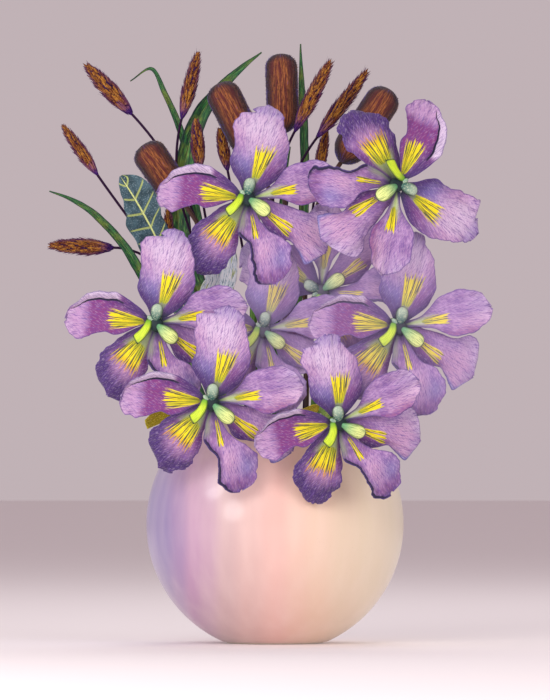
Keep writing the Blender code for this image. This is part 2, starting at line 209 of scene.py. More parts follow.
def needles(base, way, length, other, thick):
    """Closed three-sided needles, each from its base along its way to a point. The other
    direction only has to differ from the way, and thick is the radius at the base."""
    ring = unit(np.cross(way, other))
    second = np.cross(way, ring)
    verts = [base + way * length[:, None]]
    for angle in (0, 2.094, 4.189):  # thirds of a turn
        verts.append(base + (ring * math.cos(angle) + second * math.sin(angle)) * thick)
    start = np.arange(len(base))[:, None] * 4
    faces = np.concatenate([start + f for f in ([0, 1, 2], [0, 2, 3], [0, 3, 1], [3, 2, 1])])
    return np.stack(verts, axis=1).reshape(-1, 3), faces


def marked(part, **numbers):
    """The part with each number added as a field that is the same all over."""
    for key, value in numbers.items():
        part[2][key] = np.full((len(part[0]), 1), value)
    return part


# %% [markdown]
# A mesh is filled from arrays in one go. Numbers that the paint needs, such as how far a
# point is from a petal's margin, ride along as attributes, and the flat coordinates of a
# surface as its UV map.

# %% Mesh tools
def build_mesh(name, parts, material, replaces=()):
    """One object from one or more (points, faces, fields) parts. Faces are an array, or a
    pair of arrays when there are triangles too. A field with two columns becomes a UV map,
    one with one column a number, and one with three or four a colour."""
    verts = np.concatenate([p[0] for p in parts])
    groups = []
    start = 0
    for points, faces, _ in parts:
        for block in faces if isinstance(faces, tuple) else (faces,):
            groups.append(block + start)
        start += len(points)
    sizes = np.concatenate([np.full(len(g), g.shape[1]) for g in groups])
    corners = np.concatenate([g.reshape(-1) for g in groups]).astype(np.int32)
    mesh = bpy.data.meshes.new(name)
    mesh.vertices.add(len(verts))
    mesh.vertices.foreach_set("co", verts.astype(np.float32).reshape(-1))
    mesh.loops.add(len(corners))
    mesh.loops.foreach_set("vertex_index", corners)
    mesh.polygons.add(len(sizes))
    starts = np.concatenate([[0], np.cumsum(sizes)[:-1]]).astype(np.int32)
    mesh.polygons.foreach_set("loop_start", starts)
    mesh.update(calc_edges=True)
    mesh.validate()
    for key in parts[0][2]:
        values = np.concatenate([p[2][key].reshape(len(p[0]), -1) for p in parts])
        width = values.shape[1]
        if width == 2:
            layer = mesh.uv_layers.new(name=key)
            layer.data.foreach_set("uv", values[corners].astype(np.float32).reshape(-1))
        elif width == 1:
            layer = mesh.attributes.new(key, "FLOAT", "POINT")
            layer.data.foreach_set("value", values.astype(np.float32).reshape(-1))
        else:
            full = np.ones((len(values), 4), np.float32)
            full[:, :width] = values
            layer = mesh.attributes.new(key, "FLOAT_COLOR", "POINT")
            layer.data.foreach_set("color", full.reshape(-1))
    mesh.shade_smooth()
    mesh.materials.append(material)
    obj = bpy.data.objects.new(name, mesh)
    bpy.context.scene.collection.objects.link(obj)
    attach(obj, "root")
    if replaces:
        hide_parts(*replaces)
    return obj


# %% [markdown]
# ## Reading the frame
# A stem, stalk, blade or leaf in the frame is a row of rings. Starting from the ring that
# stands on the vase's floor and stepping from corner to neighbouring corner gives the rings
# back in order, and their centres and widths are all that the finished piece needs.

# %% Read rings and blooms
STRAIGHT_BELOW = 0.12  # height in metres up to which every stem is a straight line
STRAP_ANGLE = 232  # degrees round the bloom at which its longest style arm lies
HUB_LIFT = 0.00085  # metres from the end of a stem to the middle of its bloom
FARTHEST = 1.002  # bloom radii from the hub to the farthest corner of the falls


def corners_of(node):
    """The node's distinct corners and the pairs of them that an edge joins."""
    mesh = NODES[node].data
    co = np.empty(len(mesh.vertices) * 3, np.float32)
    mesh.vertices.foreach_get("co", co)
    points, index = np.unique(np.round(co.reshape(-1, 3), 5), axis=0, return_inverse=True)
    edges = np.empty(len(mesh.edges) * 2, np.int32)
    mesh.edges.foreach_get("vertices", edges)
    return points.astype(float), index.reshape(-1)[edges].reshape(-1, 2)


def rings_of(node):
    """Lists of corners, ring by ring, from the foot of a lofted node to its end. Below
    the mouth it is straight, so everything there counts with the foot."""
    points, edges = corners_of(node)
    height = points[:, 2]
    rings = [points[height < height.min() + 0.006]]
    seen = height < STRAIGHT_BELOW
    ring = seen.copy()
    while ring.any():
        touched = np.zeros(len(points), bool)
        touched[edges[ring[edges[:, 0]], 1]] = True
        touched[edges[ring[edges[:, 1]], 0]] = True
        ring = touched & ~seen
        seen |= ring
        if ring.any():
            rings.append(points[ring])
    return rings


def spine_of(node):
    """Centres, half widths and across directions of a lofted node's rings."""
    centres, widths, across = [], [], []
    for ring in rings_of(node):
        centre = ring.mean(0)
        from_centre = ring - centre
        far = np.argmax(np.linalg.norm(from_centre, axis=1))
        centres.append(centre)
        widths.append(np.linalg.norm(from_centre[far]))
        way = unit(from_centre[far])
        if across and way @ across[-1] < 0:
            way = -way
        across.append(way)
    return np.array(centres), np.array(widths), np.array(across)


def resample(path, count, *rows):
    """A smooth path through the centres with evenly spaced points, and any rows of values
    that belong to the centres read at the same places."""
    steps = distances(path)
    fine = np.linspace(0, steps[-1], count)
    return (flow(fine, steps, path), *[flow(fine, steps, row) for row in rows])


class Bloom:
    """Where one iris bloom sits: its hub, its own axes and its radius, read from the ends
    of its stem and from the longest of its style arms."""

    def __init__(self, number):
        self.name = f"iris_{number}"
        self.number = number
        self.spine, self.stem_widths, _ = spine_of(f"{self.name}_stem")
        self.axis = unit(self.spine[-1] - self.spine[-2])
        self.hub = self.spine[-1] + self.axis * HUB_LIFT
        flat = beside(corners_of(f"{self.name}_styles")[0] - self.hub, self.axis)
        reach = np.linalg.norm(flat, axis=1)
        strap = unit(flat[reach > 0.94 * reach.max()].mean(0))
        side = np.cross(self.axis, strap)
        turn = math.radians(-STRAP_ANGLE)
        self.right = strap * math.cos(turn) + side * math.sin(turn)
        self.up = np.cross(self.axis, self.right)
        falls = beside(corners_of(f"{self.name}_falls")[0] - self.hub, self.axis)
        self.radius = np.linalg.norm(falls, axis=1).max() / FARTHEST

    def place(self, local):
        """Points of the bloom's own frame, in bloom radii, as points of the scene."""
        axes = np.stack([self.right, self.up, self.axis])
        return self.hub + (local * self.radius) @ axes


BLOOMS = [Bloom(n) for n in range(1, 9)]
for bloom in BLOOMS:
    print(bloom.name, bloom.hub.round(3), "radius", round(bloom.radius, 4))


# %% [markdown]
# ## Tools for finishes
# Every finish is a Principled shader with procedural colour. A small class lets shader
# sums be written as sums.

# %% Finish tools
def srgb(text):
    """A colour written in hexadecimal, turned to the linear light that shaders use."""
    value = np.array([int(text[i:i + 2], 16) for i in (0, 2, 4)]) / 255
    return tuple(float(v) for v in np.where(value < 0.04045, value / 12.92,
                                            ((value + 0.055) / 1.055) ** 2.4))


class Sock:
    """A shader output that can be added, multiplied and so on like a number."""

    def __init__(self, finish, socket):
        self.finish, self.socket = finish, socket

    def do(self, operation, *others):
        """One step of arithmetic, named as the math node names it."""
        return self.finish.node("ShaderNodeMath", {"operation": operation}, self, *others)

    def __add__(self, other):
        return self.do("ADD", other)

    def __sub__(self, other):
        return self.do("SUBTRACT", other)

    def __mul__(self, other):
        return self.do("MULTIPLY", other)

    def __rsub__(self, other):
        return (self * -1.0).do("ADD", other)

    __radd__ = __add__
    __rmul__ = __mul__

    def ramp(self, low, high):
        """0 below low, 1 above high and an S between."""
        return self.finish.node("ShaderNodeMapRange", {"interpolation_type": "SMOOTHSTEP"},
                                Value=self, **{"From Min": low, "From Max": high})


class Finish:
    """A material being painted: its Principled shader, and the colour laid so far."""

    def __init__(self, name, **constants):
        self.material = bpy.data.materials.new(name)
        self.material.use_nodes = True
        self.tree = self.material.node_tree
        self.shader = self.tree.nodes["Principled BSDF"]
        self.colour = None
        for key, value in constants.items():
            self.feed(self.shader.inputs[key.replace("_", " ")], value)

    def feed(self, socket, value):
        """Links a Sock to a socket, or sets the socket's own colour or number."""
        if isinstance(value, Sock):
            self.tree.links.new(value.socket, socket)
        else:
            socket.default_value = (*srgb(value), 1.0) if isinstance(value, str) else value

    def node(self, kind, settings=None, *inputs, out=0, **named):
        """Adds a node of any kind with its settings and socket values or links."""
        made = self.tree.nodes.new(kind)
        for key, value in (settings or {}).items():
            setattr(made, key, value)
        for socket, value in zip(made.inputs, inputs):
            self.feed(socket, value)
        for key, value in named.items():
            self.feed(made.inputs[key], value)
        return Sock(self, made.outputs[out])

    def mix(self, factor, a, b):
        """Colour a turned into colour b by the factor."""
        made = self.tree.nodes.new("ShaderNodeMix")
        made.data_type, made.clamp_factor = "RGBA", True
        for socket, value in ((0, factor), (6, a), (7, b)):
            self.feed(made.inputs[socket], value)
        return Sock(self, made.outputs[2])

    def base(self, factor, a, b):
        """The first colour, between two."""
        self.colour = self.mix(factor, a, b)

    def coat(self, amount, shade):
        """Lays a shade over the colour, as thick as the amount."""
        self.colour = self.mix(amount, self.colour, shade)

    def vector(self, x, y, z=0.0):
        """Three numbers as one vector."""
        return self.node("ShaderNodeCombineXYZ", None, x, y, z)

    def split(self, vector):
        """The three numbers of a vector."""
        made = self.tree.nodes.new("ShaderNodeSeparateXYZ")
        self.feed(made.inputs[0], vector)
        return [Sock(self, s) for s in made.outputs]

    def number(self, name):
        """A number carried by the mesh."""
        return self.node("ShaderNodeAttribute", {"attribute_name": name}, out="Fac")

    def triple(self, name):
        """Three numbers carried by the mesh as one colour."""
        return self.split(self.node("ShaderNodeAttribute", {"attribute_name": name}, out="Vector"))

    def place(self):
        """The point's place in the object, in metres."""
        return self.node("ShaderNodeTexCoord", out="Object")

    def flat(self, name):
        """The two numbers of a UV map."""
        return self.split(self.node("ShaderNodeUVMap", {"uv_map": name}))[:2]

    def noise(self, where, scale=1.0, detail=2.0, rough=0.5, dims="3D"):
        """Soft noise from 0 to 1 over a place, finer as the scale grows."""
        return self.node("ShaderNodeTexNoise", {"noise_dimensions": dims}, Vector=where,
                         Scale=scale, Detail=detail, Roughness=rough, out="Fac")

    def streaks(self, x, y, detail=2.0, rough=0.5):
        """Noise over two numbers, drawn out by how fast each one runs."""
        return self.noise(self.vector(x, y), detail=detail, rough=rough, dims="2D")

    def done(self, roughness=None, height=None, depth=0.0005, strength=0.5):
        """Feeds the colour laid, the roughness and a bump to the shader."""
        self.feed(self.shader.inputs["Base Color"], self.colour)
        if roughness is not None:
            self.feed(self.shader.inputs["Roughness"], roughness)
        if height is not None:
            bump = self.node("ShaderNodeBump", None, Strength=strength, Distance=depth,
                             Height=height, out="Normal")
            self.feed(self.shader.inputs["Normal"], bump)
        return self.material


# %% [markdown]
# ## The vase
# The real bowl is thrown or slip-cast and glazed in soft bands that run from periwinkle on
# the left through pink and peach to cream on the right. It is a profile turned about the
# axis: the frame's own radius, foot, mouth and wall give the profile, drawn finely and
# with a rounded lip, so it fits the frame's solid.

# %% Vase shape
def vase_sizes():
    """The vase's outer radius, foot radius, height of the middle, wall, height of the floor
    inside and radius of the lip, read from the node."""
    points, _ = corners_of("vase")
    radial = np.hypot(points[:, 0], points[:, 1])
    radius = radial.max()
    foot = radial[points[:, 2] < 0.0005].max()
    centre = math.sqrt(radius**2 - foot**2)
    from_centre = np.hypot(radial, points[:, 2] - centre)
    inside = from_centre[(from_centre < radius - 0.002) & (points[:, 2] > centre - 0.02)]
    floor = points[points[:, 2] > 0.001, 2].min()
    lip = radial[points[:, 2] > points[:, 2].max() - 0.0004].mean()
    return radius, foot, centre, radius - inside.min(), floor, lip


def vase_profile():
    """(radius, height) from the middle of the foot, over the lip, to the middle of the
    floor inside, with a softened foot edge."""
    radius, foot, centre, wall, floor, lip = vase_sizes()
    mouth = math.asin(min(1, lip / (radius - wall / 2)))
    low = math.pi - math.asin(foot / radius) - 0.02
    outside = np.linspace(low, mouth, 150)
    outer = np.stack([radius * np.sin(outside), centre + radius * np.cos(outside)], 1)
    middle = radius - wall / 2
    turn = np.linspace(0, np.pi, 18)[1:-1]
    radial, raised = middle + wall / 2 * np.cos(turn), wall / 2 * np.sin(turn)
    rim = np.stack([
        radial * math.sin(mouth) - raised * math.cos(mouth),
        centre + radial * math.cos(mouth) + raised * math.sin(mouth),
    ], 1)
    within = radius - wall
    floor_angle = math.pi - math.acos((centre - floor) / within)
    inside = np.linspace(mouth, floor_angle, 90)
    inner = np.stack([within * np.sin(inside), centre + within * np.cos(inside)], 1)
    base = np.array([[foot * 0.35, 0.0], [foot * 0.8, 0.0], [foot - 0.0016, 0.0],
                     [foot - 0.0006, 0.0002], [foot, 0.0007]])
    within_floor = np.array([[inner[-1, 0] * 0.7, floor], [inner[-1, 0] * 0.3, floor]])
    return np.concatenate([base, outer[1:], rim, inner, within_floor]), floor


def turned(profile, start, end, segments):
    """A profile turned about the Z axis, with a point at each end to close it."""
    turn = np.linspace(0, 2 * np.pi, segments, endpoint=False)
    rings = np.stack([
        profile[:, :1] * np.cos(turn), profile[:, :1] * np.sin(turn),
        np.repeat(profile[:, 1:], segments, axis=1),
    ], axis=-1)
    return *closed_rings(rings, (0, 0, start), (0, 0, end)), {}


# %% [markdown]
# A glaze could be one colour, but this one runs through thirteen soft bands, as if brushed
# on side by side. Each band is laid over the last by the place across the bowl, and noise
# bends their borders a little so that they don't look ruled.

# %% Vase glaze
GLAZE_BANDS = (  # place across the bowl in metres, and the colour there
    (-0.090, "8a80ad"), (-0.078, "8e80a8"), (-0.067, "9f84a8"), (-0.058, "b48eaa"),
    (-0.047, "bd9cac"), (-0.034, "c6a8a7"), (-0.018, "d3b0a9"), (0.002, "e0b5aa"),
    (0.016, "e2bdab"), (0.030, "e2c3ab"), (0.048, "e0cab0"), (0.068, "e1d0b5"),
    (0.090, "dfd3b8"),
)


def glaze():
    """Bands by the place across the bowl, gently bent by noise, with brush marks in the
    glaze, and bare clay under the foot."""
    paint = Finish("glaze", Roughness=0.3, Coat_Weight=0.35, Coat_Roughness=0.12,
                   Specular_IOR_Level=0.4)
    where = paint.place()
    x, y, z = paint.split(where)
    drift = paint.noise(where, scale=9.0, detail=3.0) - 0.5
    across = x + drift * 0.007
    paint.colour = GLAZE_BANDS[0][1]
    for (left, _), (right, shade) in zip(GLAZE_BANDS, GLAZE_BANDS[1:]):
        paint.coat(across.ramp(left, right), shade)
    brush = paint.noise(paint.vector(x * 60.0, y * 60.0, z * 9.0), detail=4.0)
    paint.coat((brush - 0.5) * 0.5 + 0.06, "f6e3da")
    speck = paint.noise(where, scale=900.0, detail=1.0).ramp(0.70, 0.76)
    paint.coat(speck * 0.10, "8a6f78")
    clay = z.ramp(0.0012, 0.0004)
    paint.coat(clay, "d9c9b8")
    ripples = paint.noise(where, scale=28.0, detail=2.0) + brush * 0.3
    return paint.done(clay * 0.5 + 0.30 + drift * 0.1, ripples, 0.0006, 0.25)


PROFILE, FLOOR_TOP = vase_profile()
vase = build_mesh("glazed_vase", [turned(PROFILE, 0.0, FLOOR_TOP, 192)], glaze(),
                  ["vase"])
print("vase", len(vase.data.vertices), "points, floor at", round(FLOOR_TOP, 4))


# %% [markdown]
# ## Iris petals
# A petal could be cut from a flat outline and bent, but one formula does both: rows run
# from the claw to the tip, each as wide on its left and right as the petal is there. The
# height follows the frame's own curve, plus a cup across and a ruffle that grows towards
# the margin. The paint layers are soft fields over the same grid. Fine strokes that
# break them up are left to the finish.

# %% Petal outlines
# Half widths, in hundredths of the bloom's radius, at these shares of the petal's length.
SHARES = (0, 0.1, 0.2, 0.3, 0.4, 0.5, 0.6, 0.7, 0.8, 0.88, 0.94, 0.98, 1)
FALLS = {
    "top": dict(azimuth=80, length=100, lift=0.10, droop=0.22, cup=-4,
                left=(7, 13, 22, 27, 26, 26, 29, 31, 30, 27, 13, 7, 0),
                right=(8, 18, 26, 30, 32, 31, 29, 26, 20, 17, 14, 9, 0)),
    "dark": dict(azimuth=233, length=92, lift=0.08, droop=0.26, cup=-5,
                 left=(8, 9, 11, 14, 19, 22, 24, 24, 22, 19, 15, 10, 6),
                 right=(8, 13, 18, 21, 24, 27, 28, 28, 25, 18, 10, 4, 0)),
    "right": dict(azimuth=328, length=97, lift=0.02, droop=0.20, cup=-3,
                  left=(8, 11, 12, 15, 18, 19, 23, 33, 33, 24, 14, 5, -1),
                  right=(7, 8, 12, 18, 19, 16, 13, 17, 22, 24, 15, 7, 3)),
}
STANDARDS = {
    "left": dict(azimuth=175, length=95, lift=0.22, droop=0.20, cup=4,
                 left=(3, 4, 9, 14, 16, 13, 16, 20, 23, 20, 18, 12, 8),
                 right=(4, 13, 19, 24, 28, 28, 28, 25, 20, 14, 9, 3, -5)),
    "upper": dict(azimuth=12, length=99, lift=0.20, droop=0.16, cup=3,
                  left=(4, 4, 6, 12, 20, 23, 24, 24, 22, 18, 13, 5, -1),
                  right=(3, 4, 7, 10, 16, 22, 23, 22, 20, 17, 13, 8, 3)),
    "lower": dict(azimuth=290, length=97, lift=0.24, droop=0.26, cup=2,
                  left=(3, 3, 4, 6, 10, 19, 24, 25, 22, 18, 12, 6, -3),
                  right=(4, 12, 17, 21, 18, 14, 15, 18, 20, 20, 18, 14, 8)),
}
# Where one bloom's petal differs from the rest: degrees it is turned, and times its length.
TURNED = {(2, "dark"): -5.0, (2, "upper"): -5.0, (2, "right"): -3.0, (4, "dark"): -4.0,
          (5, "dark"): 3.0, (5, "lower"): 2.0}
STRETCHED = {(1, "top"): 1.055, (5, "top"): 0.96, (5, "dark"): 1.04, (5, "lower"): 1.02}


# %% [markdown]
# A painted petal is many washes laid over each other. Each wash is a field over the petal:
# 1 where it is laid thick and 0 where there is none. They could be painted by hand on a
# picture, but a formula stays sharp at any size and fits every bloom.

# %% Petal washes
LAYERS = ("pink", "indigo", "plum", "blue", "pale", "ink", "yellow", "orange", "green")


def coats(kind, s, t, v):
    """The paint layers of one petal. s runs from claw to tip, t from -1 at the right
    margin to 1 at the left, and v is the distance left of the middle in bloom radii."""
    turn = np.degrees(np.arctan2(v, s + 0.03))
    c = {name: np.zeros_like(s) for name in LAYERS}
    side = np.abs(t)
    if kind == "top":
        c["yellow"] = rise(s, 0.13, 0.20) * rise(s, 0.62, 0.30) * rise(np.abs(turn + 9), 16, 8)
        c["green"] = rise(s, 0.34, 0.14) * 0.8 * rise(np.abs(turn + 9), 18, 8)
        c["blue"] = rise(s, 0.46, 0.20) * rise(t, -0.2, 0.35) * 1.1 + 0.3 * glow(s, 0.42, 0.12)
        c["plum"] = rise(s, 0.66, 0.15) * rise(t, 0.1, -0.6) * 0.95
        c["indigo"] = rise(s, 0.34, 0.05) * 0.8 + rise(s, 0.66, 0.3) * rise(side, 0.5, 1) * 0.7
        c["indigo"] += glow(s, 0.22, 0.12) * rise(t, 0.0, 0.6) * 0.4
        c["pink"] = glow(s, 0.66, 0.22) * (1 - 0.5 * side) * 1.2
        c["pale"] = glow(s, 0.66, 0.24) * rise(side, 1.0, 0.3) * 0.75 + rise(s, 0.55, 0.8) * 0.3
        c["blue"] += rise(s, 0.80, 0.90) * 0.55
        c["indigo"] += rise(s, 0.84, 0.95) * 0.16
    elif kind == "dark":
        c["yellow"] = rise(s, 0.20, 0.27) * rise(s, 0.72, 0.36) * rise(np.abs(turn + 2), 21, 9)
        c["orange"] = rise(s, 0.40, 0.62)
        c["green"] = rise(s, 0.44, 0.20) * rise(np.abs(turn + 3), 26, 14)
        c["indigo"] = rise(s, 0.52, 0.88) * 1.1 + rise(t, -0.25, -0.95) + rise(t, 0.5, 1.0) * 0.6
        c["indigo"] += rise(s, 0.2, 0.05) * 0.6
        c["pink"] = glow(s, 0.60, 0.20) * rise(side, 0.8, 0.2) * 0.8
        c["plum"] = 0.42 + glow(s, 0.34, 0.2) * 0.6 * rise(side, 0.1, 0.8)
        c["blue"] = rise(s, 0.40, 0.12) * rise(t, 0.1, -0.6) * 0.8
    elif kind == "right":
        stripes = np.maximum.reduce([glow(turn, a, 1.5) for a in (-10.0, -5.0, -0.5)])
        c["yellow"] = rise(s, 0.20, 0.26) * rise(s, 0.58, 0.50) * stripes * 1.3
        c["indigo"] = glow(t, -0.85, 0.35) * glow(s, 0.38, 0.2) + rise(s, 0.22, 0.04) * 0.6
        c["plum"] = glow(t, -0.6, 0.5) * glow(s, 0.40, 0.24) * 0.9 + rise(s, 0.5, 0.2) * 0.3
        c["pink"] = glow(s, 0.74, 0.25) * rise(t, 1.0, 0.2) * 0.9
        c["blue"] = rise(t, -0.7, -1.0) * rise(s, 0.55, 0.8) * 1.2 + glow(s, 0.95, 0.1) * 0.4
        c["pale"] = rise(t, 0.0, 0.9) * rise(s, 0.35, 0.65) * 0.55 + rise(s, 0.6, 1.0) * 0.3
        c["ink"] = rise(t, -0.93, -0.99) * rise(s, 0.2, 0.35) * rise(s, 0.66, 0.55)
    elif kind == "left":
        off = np.abs(turn + 1)
        c["yellow"] = rise(s, 0.04, 0.10) * rise(s, 0.56, 0.24) * rise(off, 19, 7) * 1.3
        c["green"] = rise(s, 0.32, 0.10) * rise(off, 16, 6) * 0.6
        c["green"] += glow(turn, -9, 3) * glow(s, 0.26, 0.08) * 0.6
        c["plum"] = glow(s, 0.59, 0.14) * 1.3 + rise(s, 0.80, 0.40) * (0.60 + 0.5 * side)
        c["indigo"] = rise(t, -0.3, -0.62) * rise(s, 0.62, 0.4) * 0.6 + rise(s, 0.36, 0.06) * 0.6
        c["pink"] = rise(s, 0.60, 0.9) * 0.6
        c["pale"] = rise(s, 0.80, 1.0) * 0.45
        rim = rise(t, -0.70, -0.76) * rise(s, 0.30, 0.40) * rise(s, 0.95, 0.85)
        for name in ("plum", "indigo"):
            c[name] *= 1 - rim
        c["pale"] = np.maximum(c["pale"], rim * 1.4)
        c["pink"] = np.maximum(c["pink"], rim * 0.8)
        c["green"] += rim * rise(t, -0.9, -1.0) * 0.25
        c["ink"] = glow(t, -0.715, 0.05) * rise(s, 0.26, 0.36) * rise(s, 0.97, 0.85) * 1.3
    elif kind == "upper":
        c["yellow"] = rise(s, 0.16, 0.24) * rise(s, 0.56, 0.36) * glow(turn, -2.5, 6.5) * 1.2
        c["green"] = rise(s, 0.42, 0.16) * glow(turn, 0, 12)
        c["pale"] = rise(s, 0.40, 0.14) * glow(turn, 0, 12) * 1.3 + rise(s, 0.55, 1.0) * 0.6
        c["indigo"] = rise(s, 0.5, 0.12) * rise(side, 0.2, 0.9) * 0.7 + rise(s, 0.14, 0.02)
        c["pink"] = rise(t, 0.3, -0.7) * rise(s, 0.35, 0.7) * 1.1
        c["plum"] = rise(t, -0.4, -1.0) * rise(s, 0.25, 0.5) * rise(s, 1.0, 0.7) * 0.9
        c["blue"] = rise(t, 0.2, 1.0) * rise(s, 0.6, 0.9) * 0.35
        c["ink"] = rise(t, -0.95, -1.0) * rise(s, 0.45, 0.6) * rise(s, 0.9, 0.8) * 0.7
    else:
        stripes = np.maximum.reduce([glow(turn, a, 1.5) for a in (-9.5, -4.0)])
        c["yellow"] = rise(s, 0.10, 0.16) * rise(s, 0.46, 0.38) * stripes * 1.3
        c["indigo"] = rise(t, -0.55, -1.0) * 0.7 + rise(s, 0.16, 0.02) + rise(s, 0.8, 1.0) * 0.45
        # the pink here is the petal's own pink, laid as a painted highlight on the bulge of this
        # standard
        c["pink"] = glow(s, 0.62, 0.16) * glow(t, -0.1, 0.6)
        c["blue"] = glow(s, 0.78, 0.22) * glow(t, 0.5, 0.55) * 0.8 + rise(s, 0.45, 0.2) * 0.4
        c["plum"] = glow(s, 0.92, 0.12) * 0.6 + rise(s, 0.55, 0.35) * 0.45
        c["ink"] = rise(t, -0.78, -0.92) * rise(s, 0.24, 0.36) * 1.2
        c["green"] = rise(s, 0.36, 0.16) * rise(t, -0.2, -0.9) * 0.7
    return {name: np.clip(value, 0, 1.5) for name, value in c.items()}


# %% [markdown]
# A petal is never flat: it cups, droops, folds along its keel and ruffles at its margin.
# Each of these is a height over the same grid, and the heights are simply added up.

# %% Petal surface
HUB_RADIUS = 0.067  # in bloom radii: where the petals start


def petal_grid(kind, plan, level, seed, rows=72, columns=48):
    """A petal's grid in its bloom's frame, in bloom radii, and its paint fields. The
    outline wavers and the margin ruffles by rippling lines, more towards the tip."""
    s = 1 - (1 - np.linspace(0, 1, rows + 1)) ** 1.35
    t = np.sin(np.linspace(-np.pi / 2, np.pi / 2, columns + 1) * 0.88) / math.sin(0.44 * np.pi)
    ragged = 0.018 + 0.02 * (kind == "dark") + 0.012 * (kind in ("top", "lower"))
    left = flow(s, SHARES, plan["left"]) / 100 + ragged * s**1.5 * ripple(s, seed, 5, 3)
    right = flow(s, SHARES, plan["right"]) / 100 + ragged * s**1.5 * ripple(s, seed + 1, 5, 3)
    if kind == "top":  # a notch near the tip
        left -= 0.115 * glow(s, 0.892, 0.022)
    half = np.where(t > 0, left[:, None], right[:, None])
    v = half * t
    s2, t2 = np.broadcast_arrays(s[:, None], t[None, :])
    tip = 1 - 0.012 * s2**8 * (1 + ripple(t2 * 0.5, seed + 2, 5, 2))
    reach = plan["length"] / 100 - HUB_RADIUS
    along = HUB_RADIUS + reach * s2 * tip
    curve = reach * (plan["lift"] * s2 - plan["droop"] * s2**2)
    cup = plan["cup"] / 100 * np.minimum(1, 3 * s2) * t2**2
    wave = ripple(s2 + 0.15 * t2, seed + 3, 3, 2.2) * 0.020 * s2 * t2**2
    folds = ripple(v * 2.2 + 0.2 * s2, seed + 4, 3, 2.0) * 0.012 * s2
    keel = -0.022 * np.exp(-((v / 0.035) ** 2)) * rise(s2, 0.5, 0.05)
    crease = np.zeros_like(v)
    if kind == "left":
        lipped = rise(s2, 0.28, 0.42) * rise(s2, 0.98, 0.85)
        crease = lipped * (0.05 * rise(t2, -0.72, -0.95) - 0.03 * glow(t2, -0.715, 0.05))
    if kind == "lower":
        crease = 0.05 * rise(t2, -0.6, -1.0) * rise(s2, 0.25, 0.5)
        crease += 0.045 * glow(s2, 0.62, 0.2) * (1 - t2**2)
    if kind == "upper":
        crease = 0.035 * rise(t2, -0.55, -1.0) * rise(s2, 0.35, 0.6)
    height = level + curve + cup + wave + folds + keel + crease
    azimuth = math.radians(plan["azimuth"])
    outward = np.array([math.cos(azimuth), math.sin(azimuth), 0])
    leftward = np.array([-math.sin(azimuth), math.cos(azimuth), 0])
    points = (along[..., None] * outward + v[..., None] * leftward
              + height[..., None] * np.array([0, 0, 1.0]))
    fields = {"petal": np.stack([along, v], -1)}
    layers = coats(kind, s2, t2, v)
    for i, name in enumerate(("coat_a", "coat_b", "coat_c")):
        fields[name] = np.stack([layers[k] for k in LAYERS[3 * i:3 * i + 3]], -1)
    fields["margin"] = np.minimum((1 - np.abs(t2)) * half, (1 - s2) * reach)
    return points, fields
